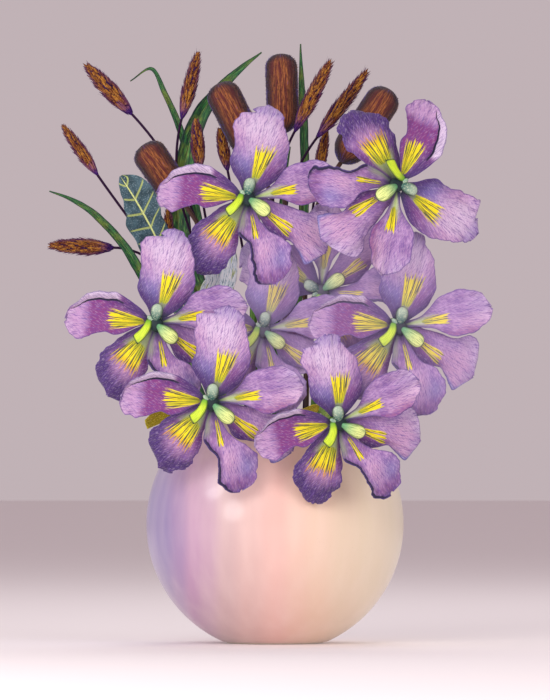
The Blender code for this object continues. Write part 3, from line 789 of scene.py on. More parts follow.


# %% [markdown]
# The petal finish lays the layers down in turn, as a painter would: lilac first, then
# washes of pink, blue, pale lilac and plum, indigo shadows, fine dark and light strokes,
# the yellow signal in rays with dark veins, the dark margin, and last painted shade towards
# the hub, where the petals meet. Long strokes fan out from the claw because they are noise
# over the angle from the hub, stretched along the petal.

# %% Petal finish
def petal_finish(name, haze):
    """Lilac petal paint. Haze is painted light: it pales and cools the paint of the blooms further
    back.
    """
    paint = Finish(name, Roughness=0.6, Specular_IOR_Level=0.25, Sheen_Weight=0.12)
    along, across = paint.flat("petal")
    pink, indigo, plum = paint.triple("coat_a")
    blue, pale, ink = paint.triple("coat_b")
    yellow, orange, green = paint.triple("coat_c")
    turn = across.do("ARCTAN2", along + 0.03)
    fine = paint.streaks(turn * 62.0, along * 9.0, detail=3.0, rough=0.65)
    thick = paint.streaks(turn * 24.0, along * 4.0, detail=3.0)
    hatch = paint.streaks(along * 48.0 + across * 88.0, across * 17.0 - along * 12.0, rough=0.6)
    patch = paint.noise(paint.vector(along * 7.0, across * 9.0, pale), detail=2.0)
    stroke = fine * 0.55 + thick * 0.45 - 0.5
    paint.base(patch.ramp(0.35, 0.65), "8d689e", "b08cb8")
    paint.coat(pink + stroke * 0.8 - 0.1, "c096b6")
    paint.coat(blue + stroke - 0.15, "716fa8")
    paint.coat(pale * 0.85 + stroke * 1.2 - 0.1, "ccb9d2")
    paint.coat(plum + stroke * 1.1 - 0.10, "7a3674")
    paint.coat(indigo + stroke * 1.6 - 0.08, "3f2660")
    dark = (0.47 - fine).ramp(0.0, 0.12) * 0.62
    paint.coat(dark, "5f4488")
    light = (hatch - 0.54).ramp(0.0, 0.14) * 0.18
    paint.coat(light, "e2cfe4")
    scratch = (0.43 - hatch).ramp(0.0, 0.10) * 0.5
    paint.coat(scratch, "664c92")
    paint.coat(green * 0.9 + stroke * 0.8 - 0.1, "a9c26a")
    ray = paint.streaks(turn * 40.0 + 7.0, along * 3.6)
    lit = (yellow + (ray - 0.5) * 2.6 + stroke * 0.6 - 0.44).ramp(0.0, 0.12)
    lit = lit * yellow.ramp(0.05, 0.25)
    gold = paint.mix(orange + stroke * 1.6, "ead61e", "d2881c")
    gold = paint.mix((thick - 0.49).ramp(0.0, 0.1) * 0.6, gold, "bcb426")
    gold = paint.mix(green * 0.8 + stroke * 2.0, gold, "8fa32a")
    paint.coat(lit, gold)
    vein = (0.485 - ray).ramp(0.0, 0.05) * yellow.ramp(0.2, 0.6) * 0.85
    paint.coat(vein, "41452c")
    line = (ink + stroke * 0.7 - 0.35).ramp(0.0, 0.25)
    paint.coat(line, "2a2540")
    margin = paint.number("margin")
    edge = (0.016 + stroke * 0.02 - margin).ramp(0.0, 0.010) * 0.6
    paint.coat(edge, "55407e")
    # painted shade: darker towards each petal's root, less over its yellow and pale parts
    deep = (0.44 - along + stroke * 0.2).ramp(0.0, 0.34) * (1.0 - yellow.ramp(0.1, 0.6))
    deep = deep * (1.0 - pale.ramp(0.3, 0.9)) * 0.5
    paint.coat(deep, "4b3263")
    # painted shade at the hub, where the claws meet: dark grey-teal on every claw
    hub_shade = (0.17 - along).ramp(0.0, 0.12) * 0.85
    paint.coat(hub_shade, "2c3a44")
    back = paint.number("back")
    paint.coat(back * 0.35, "c9b3d6")
    paint.coat(haze, "b7a3d0")
    height = fine * 0.6 + thick * 0.6 + hatch * 0.2
    return paint.done(0.52 + hatch * 0.2, height, 0.0009, 0.55)


# Each bloom wears one of three finishes: the ones that stand further back get more painted
# haze, paler and cooler paint, which lightens them in the shade of the blooms in front.
PETALS = [petal_finish(f"petal_{n}", haze) for n, haze in enumerate((0.0, 0.16, 0.30))]
HAZES = (0, 0, 0, 0, 0, 1, 2, 2)


# %% [markdown]
# The falls and the standards each grow as a whorl of three petals, so three petals make one
# piece. Every petal has a seed of its own, which gives it its own ripples.

# %% Petals
# The plans of each whorl, and its height over the hub in bloom radii.
WHORLS = {"falls": (FALLS, 0.0), "standards": (STANDARDS, 0.0194)}


def build_petals(bloom):
    """The falls and the standards of one bloom, a piece for each whorl."""
    finish = PETALS[HAZES[bloom.number - 1]]
    for whorl, (plans, level) in WHORLS.items():
        parts = []
        for k, (kind, plan) in enumerate(plans.items()):
            key = (bloom.number, kind)
            plan = dict(plan, azimuth=plan["azimuth"] + TURNED.get(key, 0.0),
                        length=plan["length"] * STRETCHED.get(key, 1.0))
            seed = bloom.number * 100 + k * 10 + (5 if whorl == "falls" else 0)
            points, fields = petal_grid(kind, plan, level, seed)
            edge = np.clip(fields["margin"] / 0.06, 0, 1)
            parts.append(sheet_shell(bloom.place(points), 0.0002 + 0.0006 * edge, fields))
        build_mesh(f"{bloom.name}_{whorl}_petals", parts, finish,
                   [f"{bloom.name}_{whorl}"])


for bloom in BLOOMS:
    build_petals(bloom)
print("petals done")


# %% [markdown]
# ## Style arms
# Three fleshy arms and a small bud stand in the middle of each bloom, with a dark knot
# between them: a near black solid that is painted shade, deep in the hub. The arms are a
# round grey-green cap over the top fall, a yellow-green strap over the dark fall and a
# striped pale bulb over the right fall. Each is an oval tube whose width follows a list.

# %% Style arms
# Kind; three points of a curve seen from the front; half widths; half depths, all in
# hundredths of the bloom's radius.
ARMS = (
    ("cap", ((0, 2), (2, 10), (3.6, 20)), (1.8, 3.4, 4.9, 5.9, 6.4, 6.5, 6.1, 4.8, 1.4),
     (1.6, 2.6, 3.4, 4.0, 4.2, 4.2, 3.8, 2.8, 0.9)),
    ("strap", ((-6.5, 5), (-5.5, -8), (-20.5, -17.5)),
     (2.2, 3.4, 4.0, 4.4, 4.8, 5.2, 5.5, 5.7, 5.2), (1.4, 2.2, 2.2, 2.0, 1.8, 1.6, 1.5, 1.3, 0.7)),
    ("bulb", ((1, -1), (10, -8), (23.5, -19.5)), (1.4, 2.8, 4.2, 5.6, 6.8, 7.6, 7.8, 6.8, 2.6),
     (1.2, 1.8, 2.2, 2.6, 2.8, 2.8, 2.6, 2.2, 0.8)),
    ("bud", ((-2, 3), (-5, 5), (-8, 7.5)), (1.4, 2.2, 2.6, 2.8, 2.8, 2.6, 2.2, 1.6, 0.5),
     (1.4, 2.0, 2.2, 2.4, 2.4, 2.2, 1.8, 1.2, 0.4)),
    ("shade_knot", ((-7.5, -2), (0, -0.5), (8.5, -1)), (1.4, 4.6, 6.6, 7.8, 8.4, 8.0, 6.8, 4.6, 1.2),
     (0.8, 2.2, 3.0, 3.4, 3.4, 3.4, 3.0, 2.2, 0.8)),
)
KINDS = [arm[0] for arm in ARMS]


def arm_part(bloom, kind, curve, wide, deep):
    """One arm: an oval tube on a quadratic curve that rises off the petals and dips at
    its end. The number kind is 0.1 for the first of the kinds, 0.3 for the second."""
    k = np.linspace(0, 1, 40)
    shares = np.linspace(0, 1, len(wide))
    start, middle, end = (np.array(p) / 100 for p in curve)
    flat = (np.outer((1 - k) ** 2, start) + np.outer(2 * k * (1 - k), middle)
            + np.outer(k**2, end))
    lift = 0.0 if kind == "shade_knot" else 0.25 * np.linalg.norm(end - start)
    local = np.column_stack([flat, 0.045 + lift * np.sin(2.3 * k)])
    scale = bloom.radius / 100
    widths = np.maximum(flow(k, shares, wide), 0.2) * scale
    depths = np.maximum(flow(k, shares, deep), 0.2) * scale
    arm = tube(bloom.place(local), widths, depths, 28, bloom.axis)
    return marked(arm, kind=0.1 + 0.2 * KINDS.index(kind))


def style_finish(name, haze):
    """One finish for all the arms, told apart by the number kind."""
    paint = Finish(name, Roughness=0.42, Specular_IOR_Level=0.4)
    along, around, kind = (paint.number(k) for k in ("along", "around", "kind"))
    where = paint.place()
    speckle = paint.noise(where, scale=900.0, detail=3.0)
    lines = paint.streaks(around * 34.0, along * 3.0)
    cap = paint.mix(along.ramp(0.20, 0.85), "2a5f58", "9fb39c")
    cap = paint.mix((speckle - 0.5).ramp(0.0, 0.15) * 0.5, cap, "cfd5b4")
    strap = paint.mix(along.ramp(0.1, 0.45), "69a42c", "c6dc30")
    strap = paint.mix((lines - 0.52).ramp(0.0, 0.1) * 0.6, strap, "7aa82c")
    bulb = paint.mix(along.ramp(0.1, 0.8), "5f9f72", "dbe58e")
    bulb = paint.mix((lines - 0.56).ramp(0.0, 0.06) * 0.75, bulb, "4e7a3c")
    bud = paint.mix(speckle.ramp(0.4, 0.6), "7fa08a", "a9bda0")
    paint.base(kind.ramp(0.19, 0.21), cap, strap)
    paint.coat(kind.ramp(0.39, 0.41), bulb)
    paint.coat(kind.ramp(0.59, 0.61), bud)
    # the knot is painted near black: it stands for the shade deep in the hub between the arms
    paint.coat(kind.ramp(0.79, 0.81), "14262a")
    # painted shade: dark where each arm leaves the hub, at its end, and at its sides as seen along
    # the bloom's axis
    rim = along.ramp(0.92, 0.98) * 0.85 + (0.16 - along).ramp(0.0, 0.12) * 0.9
    side = ((around - 0.5).do("ABSOLUTE") + (lines - 0.5) * 0.2).ramp(0.18, 0.42) * 0.85
    paint.coat(rim + side, "173029")
    # painted haze, as on the petals: paler and cooler for the blooms further back
    paint.coat(haze, "b7a8c8")
    return paint.done(0.4 + speckle * 0.15, lines * 0.6 + speckle * 0.4, 0.0005, 0.5)


STYLES = [style_finish(f"style_{n}", haze) for n, haze in enumerate((0.0, 0.10, 0.22))]
for bloom in BLOOMS:
    parts = [arm_part(bloom, *arm) for arm in ARMS]
    build_mesh(f"{bloom.name}_style_arms", parts, STYLES[HAZES[bloom.number - 1]],
               [f"{bloom.name}_styles"])
print("style arms done")


# %% [markdown]
# ## Stems and bracts
# A stem follows the frame's own centres as a round tube, a little ribbed. Under the bloom
# sit the ovary, a swelling of the stem, and a papery green bract that wraps it.

# %% Stems
def stem_parts(bloom):
    """The stem: a wavering tube with a bell of 1.4 mm, the ovary, 12 mm below its end."""
    path, widths = resample(bloom.spine, 150, bloom.stem_widths)
    share = np.linspace(0, 1, 150)
    left = np.linalg.norm(np.diff(path, axis=0), axis=1).sum() * (1 - share)
    ovary = 0.0014 * glow(left, 0.012, 0.008)
    wave = 1 + 0.05 * ripple(share, bloom.number, 3, 4)
    return tube(path, widths * 0.96 * wave + ovary, sides=20)


def bract_part(bloom):
    """A leaf rolled round the top of the stem: its half angle round the stem shrinks to
    nothing at its point, and it stands off the stem a little more as it rises."""
    path, _ = resample(bloom.spine, 150, bloom.stem_widths)
    steps = distances(path)
    end = steps[-1] - 0.004
    length = min(0.045, 0.6 * steps[-1])
    s = np.linspace(0, 1, 40)
    at = end - length * (1 - s)
    centre = np.stack([np.interp(at, steps, path[:, i]) for i in range(3)], 1)
    across, out, _ = carried(centre, (0.2, -0.4, 1.0))
    angle = np.radians(165) * (1 - s**2.5) ** 0.6 + 0.06
    offset = 0.0035 + 0.0022 * np.sin(np.pi * s) + 0.0006 * s
    turn = np.linspace(-1, 1, 25) * angle[:, None]
    points = centre[:, None] + offset[:, None, None] * swing(out[:, None], across[:, None], turn)
    along, around = np.broadcast_arrays(s[:, None], np.linspace(0, 1, 25))
    fields = {"along": along, "around": around}
    return sheet_shell(points[:, ::-1], np.full(turn.shape, 0.0005), fields)


def stem_finish(name, shades, scale=1.0):
    """Fine lengthwise streaks of three shades, finer round the stem as the scale grows."""
    paint = Finish(name, Roughness=0.5, Specular_IOR_Level=0.35)
    along, around = paint.number("along"), paint.number("around")
    streak = paint.streaks(around * 22.0 * scale, along * 12.0, detail=3.0)
    cloud = paint.noise(paint.place(), scale=60.0, detail=3.0)
    paint.base(streak.ramp(0.35, 0.6), shades[0], shades[1])
    paint.coat(cloud.ramp(0.5, 0.75) * 0.6, shades[2])
    return paint.done(0.45 + streak * 0.2, streak, 0.0004, 0.5)


STEM = stem_finish("iris_stem", ("35551f", "5f8a35", "86a04a"))
BRACT = stem_finish("bract", ("4a6b2c", "7f9c4a", "b4a86a"), 1.6)
for bloom in BLOOMS:
    build_mesh(f"{bloom.name}_green_stem", [stem_parts(bloom)], STEM,
               [f"{bloom.name}_stem"])
    build_mesh(f"{bloom.name}_bract", [bract_part(bloom)], BRACT)
print("stems done")


# %% [markdown]
# ## Cattails
# A cattail's head is thousands of fibres packed into a felt, so its surface is a capsule
# whose skin is lightly ridged along its length, with a coat of short fibres standing
# out of it. Its stalk is a thin dry tube.

# %% Cattails
FELT_SHARE = 0.96  # the felt's radius as a share of its solid's, with room for the fibres


def head_axis(number):
    """Foot, direction, length and radius of a cattail's head, from the node and from the
    end of its stalk."""
    points, _ = corners_of(f"cattail_{number}_head")
    spine, _, _ = spine_of(f"cattail_{number}_stalk")
    axis = unit(spine[-1] - spine[-2])
    along = (points - spine[-1]) @ axis
    radial = beside(points - spine[-1], axis)
    return spine[-1], axis, along.max(), np.linalg.norm(radial, axis=1).max() * FELT_SHARE


def capsule(k, radius):
    """The felt's radius at share k of its length: a superellipse at each end."""
    low = (1 - (1 - np.clip(k / 0.26, 0, 1)) ** 2.2) ** 0.65
    high = (1 - (1 - np.clip((1 - k) / 0.18, 0, 1)) ** 2.2) ** 0.5
    return radius * low * high


def cattail_head(number):
    """A capsule with fine ridges along it: bumps of a tenth of a millimetre, one for each
    side of the tube, and half as much again at every point."""
    foot, axis, length, radius = head_axis(number)
    rows, sides = 90, 96
    k = np.sin(np.linspace(-np.pi / 2, np.pi / 2, rows)) * 0.5 + 0.5
    path = foot + np.outer(k * length, axis)
    widths = np.maximum(capsule(k, radius) * (1 + 0.015 * ripple(k, number, 4, 3)), 0.0004)
    verts, faces, fields = tube(path, widths, sides=sides)
    centre = np.concatenate([np.repeat(path, sides, axis=0), path[:1], path[-1:]])
    turn = np.concatenate([np.tile(np.arange(sides), rows), [0, 0]])
    rng = np.random.default_rng(40 + number)
    bumps = rng.normal(0, 1, sides)[turn] * 0.0001 + rng.normal(0, 0.00005, len(verts))
    return verts + unit(verts - centre + 1e-9) * bumps[:, None], faces, fields


def fibres(number, count=2600):
    """Short hairs, each a thin three-sided needle, standing out of the felt and leaning
    towards the crown."""
    foot, axis, length, radius = head_axis(number)
    rng = np.random.default_rng(70 + number)
    k, turn = rng.uniform(0.03, 0.985, count), rng.uniform(0, 2 * np.pi, count)
    side = unit(np.cross(axis, [0, 1.0, 0.1]))
    out = swing(side, np.cross(axis, side), turn)
    base = foot + np.outer(k * length, axis) + out * (capsule(k, radius) * 0.985)[:, None]
    lean = unit(out + axis * rng.normal(0.5, 0.4, count)[:, None])
    hairs = needles(base, lean, rng.uniform(0.0006, 0.0014, count), axis, 0.00012)
    return *hairs, repeated(4, along=k, around=turn / 6.283)


# %% [markdown]
# The fibres of a head are packed in rows, so the felt is painted in strokes along it.
# Painted shade darkens its two sides, as seen from the front, and its top and foot, with a
# violet rim painted where the sides turn away.

# %% Cattail finish
def cattail_finish():
    """Reddish brown felt in lengthwise strokes, with painted shade and a violet rim at the
    sides as seen from the front and at the top and the foot."""
    paint = Finish("cattail_felt", Roughness=0.9, Specular_IOR_Level=0.1, Sheen_Weight=0.15)
    along, around = paint.number("along"), paint.number("around")
    where = paint.place()
    grain = paint.streaks(around * 60.0, along * 9.0, detail=3.0)
    broad = paint.streaks(around * 22.0, along * 3.0)
    fuzz = paint.noise(where, scale=1600.0, detail=2.0)
    paint.base(grain.ramp(0.3, 0.7), "3a1d1e", "b06c3c")
    paint.coat((fuzz - 0.5).ramp(0.0, 0.15) * 0.35, "a0584a")
    paint.coat((0.53 - broad).ramp(0.0, 0.12) * 0.8, "57262c")
    # painted shade: dark at the two sides of the head, as seen from the front, and at its top and
    # foot
    side = (around - 0.5 + (broad - 0.5) * 0.1).do("ABSOLUTE").ramp(0.07, 0.36)
    end_shade = (0.16 - along).ramp(0.0, 0.14) + along.ramp(0.86, 0.99)
    shade = side * 0.95 + end_shade * 0.8 + (grain - 0.5) * 1.2
    paint.coat(shade, "2b1a24")
    # a violet rim, painted as part of the same shade at the sides and at the top and foot, broken
    # up by the strokes
    rim = (around - 0.5).do("ABSOLUTE").ramp(0.28, 0.47)
    violet = rim * 0.8 + end_shade * 0.5 + (grain - 0.5) * 1.8 + (broad - 0.5) * 2.4 + fuzz - 1.30
    paint.coat(violet.ramp(0.0, 0.3) * 0.7, "46309a")
    return paint.done(None, grain + fuzz * 0.8, 0.0006, 0.7)


STALK = stem_finish("dry_stalk", ("2c1c26", "54382c", "6d5030"))
FELT = cattail_finish()
for number in range(1, 5):
    name = f"cattail_{number}"
    build_mesh(f"{name}_felt_head", [cattail_head(number), fibres(number)], FELT,
               [f"{name}_head"])
    centres, widths, _ = spine_of(f"{name}_stalk")
    path, widths = resample(centres, 90, widths)
    build_mesh(f"{name}_dry_stalk", [tube(path, widths, sides=14)], STALK,
               [f"{name}_stalk"])
print("cattails done")


# %% [markdown]
# ## Grass spikes
# A spike is a stalk with rows of pointed seeds packed round its upper end. The seeds are
# copies of one small lens, turned and placed round the spindle by the golden angle, with
# fine bristles, the awns, between them.

# %% Grass spikes
GOLDEN_ANGLE = 2.39996  # radians
EAR_LENGTH = 0.045  # metres, the ear for which the sizes of seeds and awns are given
PLUMPER = {5: 1.12, 6: 1.16}  # ears fuller than their solids, by these factors


def seed_cluster(spine, widths, count, seed):
    """Seeds round the spindle: share k of the way up, turned by the golden angle, lying
    along the spindle and tipped outwards, long below and short at the top."""
    rng = np.random.default_rng(seed)
    k = (np.arange(count) + 0.5) / count
    steps = distances(spine)
    length = steps[-1]
    centre = flow(k * 0.93 * length, steps, spine)
    radius = flow(k * length, steps, widths) * 0.66
    across, out, tangent = carried(centre, FRONT)
    turn = np.arange(count) * GOLDEN_ANGLE + rng.normal(0, 0.2, count)
    away = swing(across, out, turn)
    tip = unit(tangent + away * rng.normal(0.24, 0.06, count)[:, None])
    side = unit(np.cross(tip, away))
    lift = np.cross(side, tip)
    size = (0.0120 - 0.004 * k) * rng.uniform(0.85, 1.15, count) * length / EAR_LENGTH
    wide = widths.max() * 0.16
    rows, sides = 7, 5
    points = rows * sides
    u = np.linspace(0, 1, rows)
    profile = np.sin(np.pi * u**0.8) ** 0.8
    profile[0], profile[-1] = 0.05, 0.02
    around = np.linspace(0, 2 * np.pi, sides, endpoint=False)
    lens = np.stack([
        np.repeat(u, sides), (profile[:, None] * np.cos(around)).ravel(),
        (profile[:, None] * np.sin(around) * 0.55).ravel(),
    ], 1)
    base = centre + away * radius[:, None] - tip * (size * 0.35)[:, None]
    verts = (
        base[:, None]
        + tip[:, None] * (lens[None, :, :1] * size[:, None, None])
        + side[:, None] * (lens[None, :, 1:2] * wide)
        + lift[:, None] * (lens[None, :, 2:3] * wide)
    ).reshape(-1, 3)
    quads = grid_quads(rows, sides, wrap=True)
    caps = np.array([np.arange(sides)[::-1], np.arange(points - sides, points)])
    shift = np.arange(count)[:, None, None] * points
    faces = ((quads + shift).reshape(-1, 4), (caps + shift).reshape(-1, sides))
    # the last number is 1 for seeds at the spike's two sides as seen from the front, where the
    # finish paints shade
    fields = repeated(points, along=k, tone=rng.uniform(0, 1, count), flank=np.abs(np.cos(turn)))
    fields["around"] = np.tile(np.repeat(u, sides), count)[:, None]
    return verts, faces, fields


def bristles(spine, widths, count, seed):
    """Fine awns: needles at random places and angles that leave the spindle at a slant."""
    rng = np.random.default_rng(seed)
    k = rng.uniform(0.05, 1.0, count)
    steps = distances(spine)
    centre = flow(k * steps[-1] * 0.96, steps, spine)
    order = np.argsort(k)
    across, out, tangent = (np.empty_like(centre) for _ in range(3))
    across[order], out[order], tangent[order] = carried(centre[order], FRONT)
    turn = rng.uniform(0, 2 * np.pi, count)
    away = swing(across, out, turn)
    base = centre + away * (flow(k * steps[-1], steps, widths) * 0.75)[:, None]
    way = unit(tangent + away * rng.normal(0.34, 0.08, count)[:, None])
    length = rng.uniform(0.003, 0.0065, count) * steps[-1] / EAR_LENGTH
    fields = repeated(4, along=k, tone=rng.uniform(0, 0.6, count), flank=np.abs(np.cos(turn)))
    fields["around"] = np.tile([1.0, 0.6, 0.6, 0.6], count)[:, None]
    return *needles(base, way, length, away, 0.00018), fields


# %% [markdown]
# A dry seed is darker at its foot and at its point. The number around tells how far along
# its seed a point is, and tone makes each seed a little lighter or darker than the next.

# %% Spike finish
def spike_finish():
    """Ochre seeds streaked with dark purple, violet low down on the spindle, and painted shade
    on the seeds at the spike's two sides as seen from the front.
    """
    paint = Finish("seed_spike", Roughness=0.8, Specular_IOR_Level=0.15)
    along, around, tone = (paint.number(k) for k in ("along", "around", "tone"))
    where = paint.place()
    grain = paint.noise(where, scale=700.0, detail=3.0)
    paint.base(tone.ramp(0.2, 0.9), "66331f", "a06a2a")
    paint.coat((grain - 0.5).ramp(0.0, 0.2) * 0.5, "c08c44")
    shade = (0.40 - around).ramp(0.0, 0.25) + (around - 0.84).ramp(0.0, 0.1) * 0.7
    paint.coat(shade + (0.44 - grain).ramp(0.0, 0.1) * 0.5, "2a1330")
    low = (0.20 - along).ramp(0.0, 0.18) * 0.7 * (grain + 0.3)
    paint.coat(low, "4a2482")
    # painted shade: dark purple on the seeds at the spike's two sides, as seen from the front
    flank = (paint.number("flank") + (grain - 0.5) * 0.6).ramp(0.62, 1.05) * 0.75
    paint.coat(flank, "3d1c5c")
    return paint.done(None, grain, 0.0004, 0.5)


SEEDS = spike_finish()


def build_spike(number):
    """A stalk and its seeds as one piece, since they grow as one."""
    name = f"spike_{number}"
    centres, widths, _ = spine_of(name)
    first = int(np.argmax(widths > 1.6 * widths[:4].mean()))
    path, wide = resample(centres[:first + 1], 90, np.minimum(widths[:first + 1], widths[0]))
    stalk = marked(tube(path, wide * 0.9, sides=8), tone=0.1, flank=0.6, along=0.30, around=0.10)
    spindle, spread = centres[first - 1:], widths[first - 1:] * PLUMPER.get(number, 1.0)
    core_path, core_wide = resample(spindle, 40, spread * 0.72)
    core = tube(core_path, np.maximum(core_wide, 0.0003), sides=10)
    marked(core, tone=0.1, flank=0.8, around=0.15)
    seeds = seed_cluster(spindle, spread, 190, 200 + number)
    awns = bristles(spindle, spread, 150, 300 + number)
    build_mesh(f"{name}_seeds", [stalk, core, seeds, awns], SEEDS, [name])


for number in range(1, 11):
    build_spike(number)
print("spikes done")


# %% [markdown]
# ## Blades and leaves
# Each is a ribbon that follows the frame's rings: folded along its midrib, thin at the
# margin, rough-edged, and closed into a shell. The leaves get wide only near the end.

# %% Blades and leaves
LEFT, RIGHT = 0, 1


def ribbon(node, fold, rough, seed, rows=150, columns=24, thick=0.0007, notches=(),
           margins=(None, None)):
    """A ribbon's shell. Half widths follow the frame's rings with a rippling edge, and the
    two halves rise from the midrib by the fold. A margin is a list of places (share of the
    length, half width in millimetres) that the left or the right half follows from its
    first place on. A notch (half, place, depth as a share of the width) bites into one."""
    centres, widths, across = spine_of(node)
    path, half, side = resample(centres, rows + 1, widths, across)
    side = unit(side)
    tangents = unit(np.gradient(path, axis=0))
    out = unit(np.cross(tangents, side))
    if out[:, 1].mean() > 0:
        side, out = -side, -out
    s = np.linspace(0, 1, rows + 1)
    t = np.linspace(-1, 1, columns + 1)
    halves = []
    for k, margin in enumerate(margins):
        edge = half
        if margin:
            places, sizes = np.array(margin).T
            drawn = flow(np.maximum(s, places[0]), places, sizes) / 1000
            share = rise(s, places[0] - 0.05, places[0])
            edge = half * (1 - share) + drawn * share
        halves.append(edge * (1 + rough * ripple(s, seed + k, 6, 9)))
    for k, where, depth in notches:
        halves[k] = halves[k] * (1 - depth * glow(s, where, 0.012))
    v = np.where(t > 0, halves[0][:, None], halves[1][:, None]) * t
    lift = fold * np.abs(v) + 0.10 * half[:, None] * ripple(s, seed + 2, 3, 4)[:, None] * t**2
    points = path[:, None] + side[:, None] * v[..., None] + out[:, None] * lift[..., None]
    s2, t2 = np.broadcast_arrays(s[:, None], t[None, :])
    thinning = 0.35 + 0.65 * (1 - np.abs(t2) ** 4)
    return sheet_shell(points, thick * thinning, {"ribbon": np.stack([s2, t2], -1)})


# %% [markdown]
# Grass is streaked along its length, because its veins run that way. The streaks are noise
# drawn out along the blade, and a finer noise makes the dark and the light dashes.

# %% Grass blades
def blade_finish():
    """Lengthwise streaks of three greens, a paler midrib and a dark margin."""
    paint = Finish("grass_blade", Roughness=0.55, Specular_IOR_Level=0.3)
    s, t = paint.flat("ribbon")
    side = t.do("ABSOLUTE")
    streak = paint.streaks(t * 5.0, s * 30.0, detail=4.0, rough=0.65)
    cloud = paint.noise(paint.place(), scale=110.0, detail=3.0)
    paint.base(streak.ramp(0.36, 0.62), "1d3b2a", "33703a")
    paint.coat(cloud.ramp(0.46, 0.7) * 0.75, "6b7a30")
    paint.coat((0.12 - side).ramp(0.0, 0.1) * 0.4, "8c9a4a")
    dash = paint.streaks(t * 9.0 + 3.0, s * 55.0, detail=3.0, rough=0.6)
    paint.coat((0.45 - dash).ramp(0.0, 0.08) * 0.65, "1f1d33")
    paint.coat((dash - 0.60).ramp(0.0, 0.06) * 0.5, "7fae5c")
    edge = (side + (streak - 0.5) * 0.5).ramp(0.65, 1.0)
    paint.coat(edge * 0.9, "14262f")
    return paint.done(0.5 + streak * 0.2, streak + cloud * 0.4, 0.0005, 0.6)


BLADE = blade_finish()
for number in range(1, 6):
    part = ribbon(f"blade_{number}", 0.32, 0.09, 500 + number * 7, rows=220)
    build_mesh(f"grass_blade_{number}", [part], BLADE, [f"blade_{number}"])


# %% [markdown]
# The leaves are wider, and they wear three finishes: teal with pale veins, white with down,
# and mustard yellow. A side vein slants because it is a stripe over the place along the
# leaf less a share of the distance from the midrib.

# %% Leaves
def veined_finish():
    """Blue-grey teal with stippling, a pale yellow-green midrib and side veins that leave
    it at a slant, steeper on one side than on the other."""
    paint = Finish("veined_leaf", Roughness=0.6, Specular_IOR_Level=0.25)
    s, t = paint.flat("ribbon")
    side = t.do("ABSOLUTE")
    where = paint.place()
    speck = paint.noise(where, scale=1300.0, detail=2.0)
    cloud = paint.noise(where, scale=120.0, detail=3.0)
    paint.base(cloud.ramp(0.35, 0.65), "2b4048", "46606a")
    paint.coat((speck - 0.56).ramp(0.0, 0.1) * 0.55, "8fa3ac")
    wobble = (cloud - 0.5) * 0.05
    slant = 0.9 - t.ramp(-0.01, 0.01) * 0.48
    rows = (s * 30.0 + 0.24 - side * slant + wobble).do("FRACT")
    spread = (rows - 0.5).do("ABSOLUTE")
    vein = (0.105 - spread - side * 0.03).ramp(0.0, 0.05)
    vein = vein * (1.02 - side).ramp(0.0, 0.2) * s.ramp(0.42, 0.5)
    rib = (0.075 - side).ramp(0.0, 0.04)
    paint.coat(vein * 0.85, "a9b56a")
    paint.coat(rib, "cdd68c")
    stalk = (0.44 - s).ramp(0.0, 0.08)
    paint.coat(stalk, "5c7048")
    return paint.done(0.6, vein * -0.6 - rib + speck * 0.4, 0.0006, 0.7)


def downy_finish():
    """White and pale blue strokes with darker teal and a few green ones between."""
    paint = Finish("silver_leaf", Roughness=0.85, Specular_IOR_Level=0.15, Sheen_Weight=0.3)
    s, t = paint.flat("ribbon")
    hair = paint.streaks(t * 16.0, s * 42.0, detail=4.0, rough=0.7)
    wisp = paint.streaks(t * 9.0 + 4.0, s * 20.0)
    paint.base(hair.ramp(0.35, 0.6), "bcd2e0", "fbfdfe")
    paint.coat((0.42 - hair).ramp(0.0, 0.05) * 0.8, "35606e")
    paint.coat((wisp - 0.62).ramp(0.0, 0.06) * 0.8, "b3c04a")
    stalk = (0.40 - s).ramp(0.0, 0.08)
    paint.coat(stalk, "6f8a6a")
    return paint.done(None, hair, 0.0008, 0.8)


def mustard_finish():
    """Mustard yellow, stippled with darker olive and pale dots."""
    paint = Finish("yellow_leaf", Roughness=0.6, Specular_IOR_Level=0.25)
    _, t = paint.flat("ribbon")
    dots = paint.noise(paint.place(), scale=1500.0, detail=2.0)
    paint.base(dots.ramp(0.4, 0.6), "a59a1c", "cfc22c")
    paint.coat((dots - 0.58).ramp(0.0, 0.06) * 0.6, "e6de7a")
    rib = (0.10 - t.do("ABSOLUTE")).ramp(0.0, 0.08) * 0.5
    paint.coat(rib, "8a8420")
    return paint.done(None, dots, 0.0004, 0.5)


part = ribbon("veined_leaf", 0.22, 0.04, 610, rows=260, columns=48,
              notches=((LEFT, 0.953, 0.20), (LEFT, 0.925, 0.16), (RIGHT, 0.888, 0.10)),
              margins=(((0.80, 14.2), (0.87, 14.0), (0.905, 14.2), (0.93, 11.8), (0.955, 9.0),
                        (0.975, 5.6), (0.99, 3.4), (1.0, 0.6)),
                       ((0.80, 12.0), (0.85, 10.5), (0.886, 11.8), (0.925, 14.2),
                        (0.955, 14.2), (0.975, 12.5), (0.99, 8.0), (1.0, 1.5))))
build_mesh("teal_veined_leaf", [part], veined_finish(), ["veined_leaf"])
MUSTARD = mustard_finish()
for side in ("left", "right"):
    part = ribbon(f"yellow_leaf_{side}", 0.18, 0.03, 640, columns=30)
    build_mesh(f"mustard_leaf_{side}", [part], MUSTARD, [f"yellow_leaf_{side}"])
part = ribbon("silver_leaf", 0.25, 0.14, 660, rows=220, columns=40)
build_mesh("downy_silver_leaf", [part], downy_finish(), ["silver_leaf"])
print("leaves done")


# %% [markdown]
# ## Studio
# A pale floor, a large soft key from the upper left, a fill from the right and a light
# from above and behind. The camera is level with the bouquet and far away, with a long
# lens, so that the bowl looks round and the blooms keep their sizes.

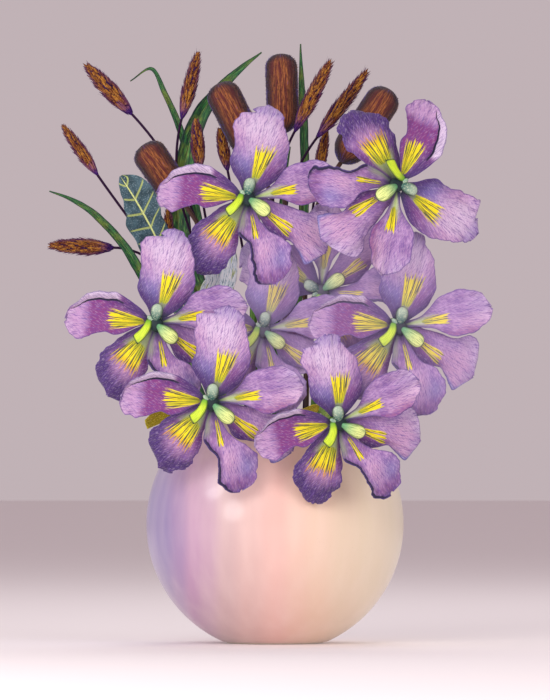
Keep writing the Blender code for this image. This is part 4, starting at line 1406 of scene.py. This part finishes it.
# %% Floor, lights and camera
def studio_floor():
    """A wide disc under the vase."""
    bpy.ops.mesh.primitive_circle_add(vertices=96, radius=6.0, fill_type="NGON",
                                      location=(0, 0, -0.0002))
    floor = bpy.context.object
    floor.name = "floor"
    paint = Finish("floor_paper", Roughness=0.9, Specular_IOR_Level=0.1)
    grain = paint.noise(paint.place(), scale=40.0, detail=2.0)
    paint.base(grain * 0.1, "efe9ea", "e4dcdf")
    floor.data.materials.append(paint.done())


def area_light(name, place, aim, size, power, colour):
    """A round lamp, its size in metres and its power in watts, turned to face its aim."""
    light = bpy.data.lights.new(name, "AREA")
    light.shape, light.size, light.energy, light.color = "DISK", size, power, colour
    obj = bpy.data.objects.new(name, light)
    bpy.context.scene.collection.objects.link(obj)
    obj.location = place
    away = np.array(aim) - np.array(place)
    obj.rotation_euler = Vector(away).to_track_quat("-Z", "Y").to_euler()
    return obj


studio_floor()
for name, place, size, power, colour in (
        ("key", (-0.7, -2.2, 1.05), 1.3, 22, (1.0, 0.98, 0.96)),
        ("fill", (1.4, -1.8, 0.5), 1.4, 17, (0.96, 0.97, 1.0)),
        ("top", (0.2, 1.0, 1.6), 1.2, 8, (1.0, 1.0, 1.0))):
    area_light(name, place, (0, 0, 0.2), size, power, colour).visible_glossy = False
for name, place, size, power in (("glint_high", (-1.24, -0.70, 0.88), 0.56, 6.2),
                                 ("glint_low", (-0.95, -1.24, 0.41), 0.50, 4.0)):
    area_light(name, place, (-0.035, -0.08, 0.1), size, power, (1.0, 1.0, 1.0))
    bpy.data.lights[name].use_shadow = False
world = bpy.data.worlds.new("studio")
world.use_nodes = True
world.node_tree.nodes["Background"].inputs["Color"].default_value = (0.93, 0.78, 0.82, 1)
world.node_tree.nodes["Background"].inputs["Strength"].default_value = 0.57
bpy.context.scene.world = world
bpy.context.scene.view_settings.view_transform = "Standard"

camera = bpy.data.cameras.new("camera")
camera.lens, camera.sensor_width = 588, 36  # millimetres
view = bpy.data.objects.new("camera", camera)
bpy.context.scene.collection.objects.link(view)
distance, middle, tilt = 8.0, 0.205, math.radians(0.2)
view.location = (0.0, -distance * math.cos(tilt), middle + distance * math.sin(tilt))
view.rotation_euler = (math.radians(90) - tilt, 0, 0)
bpy.context.scene.camera = view
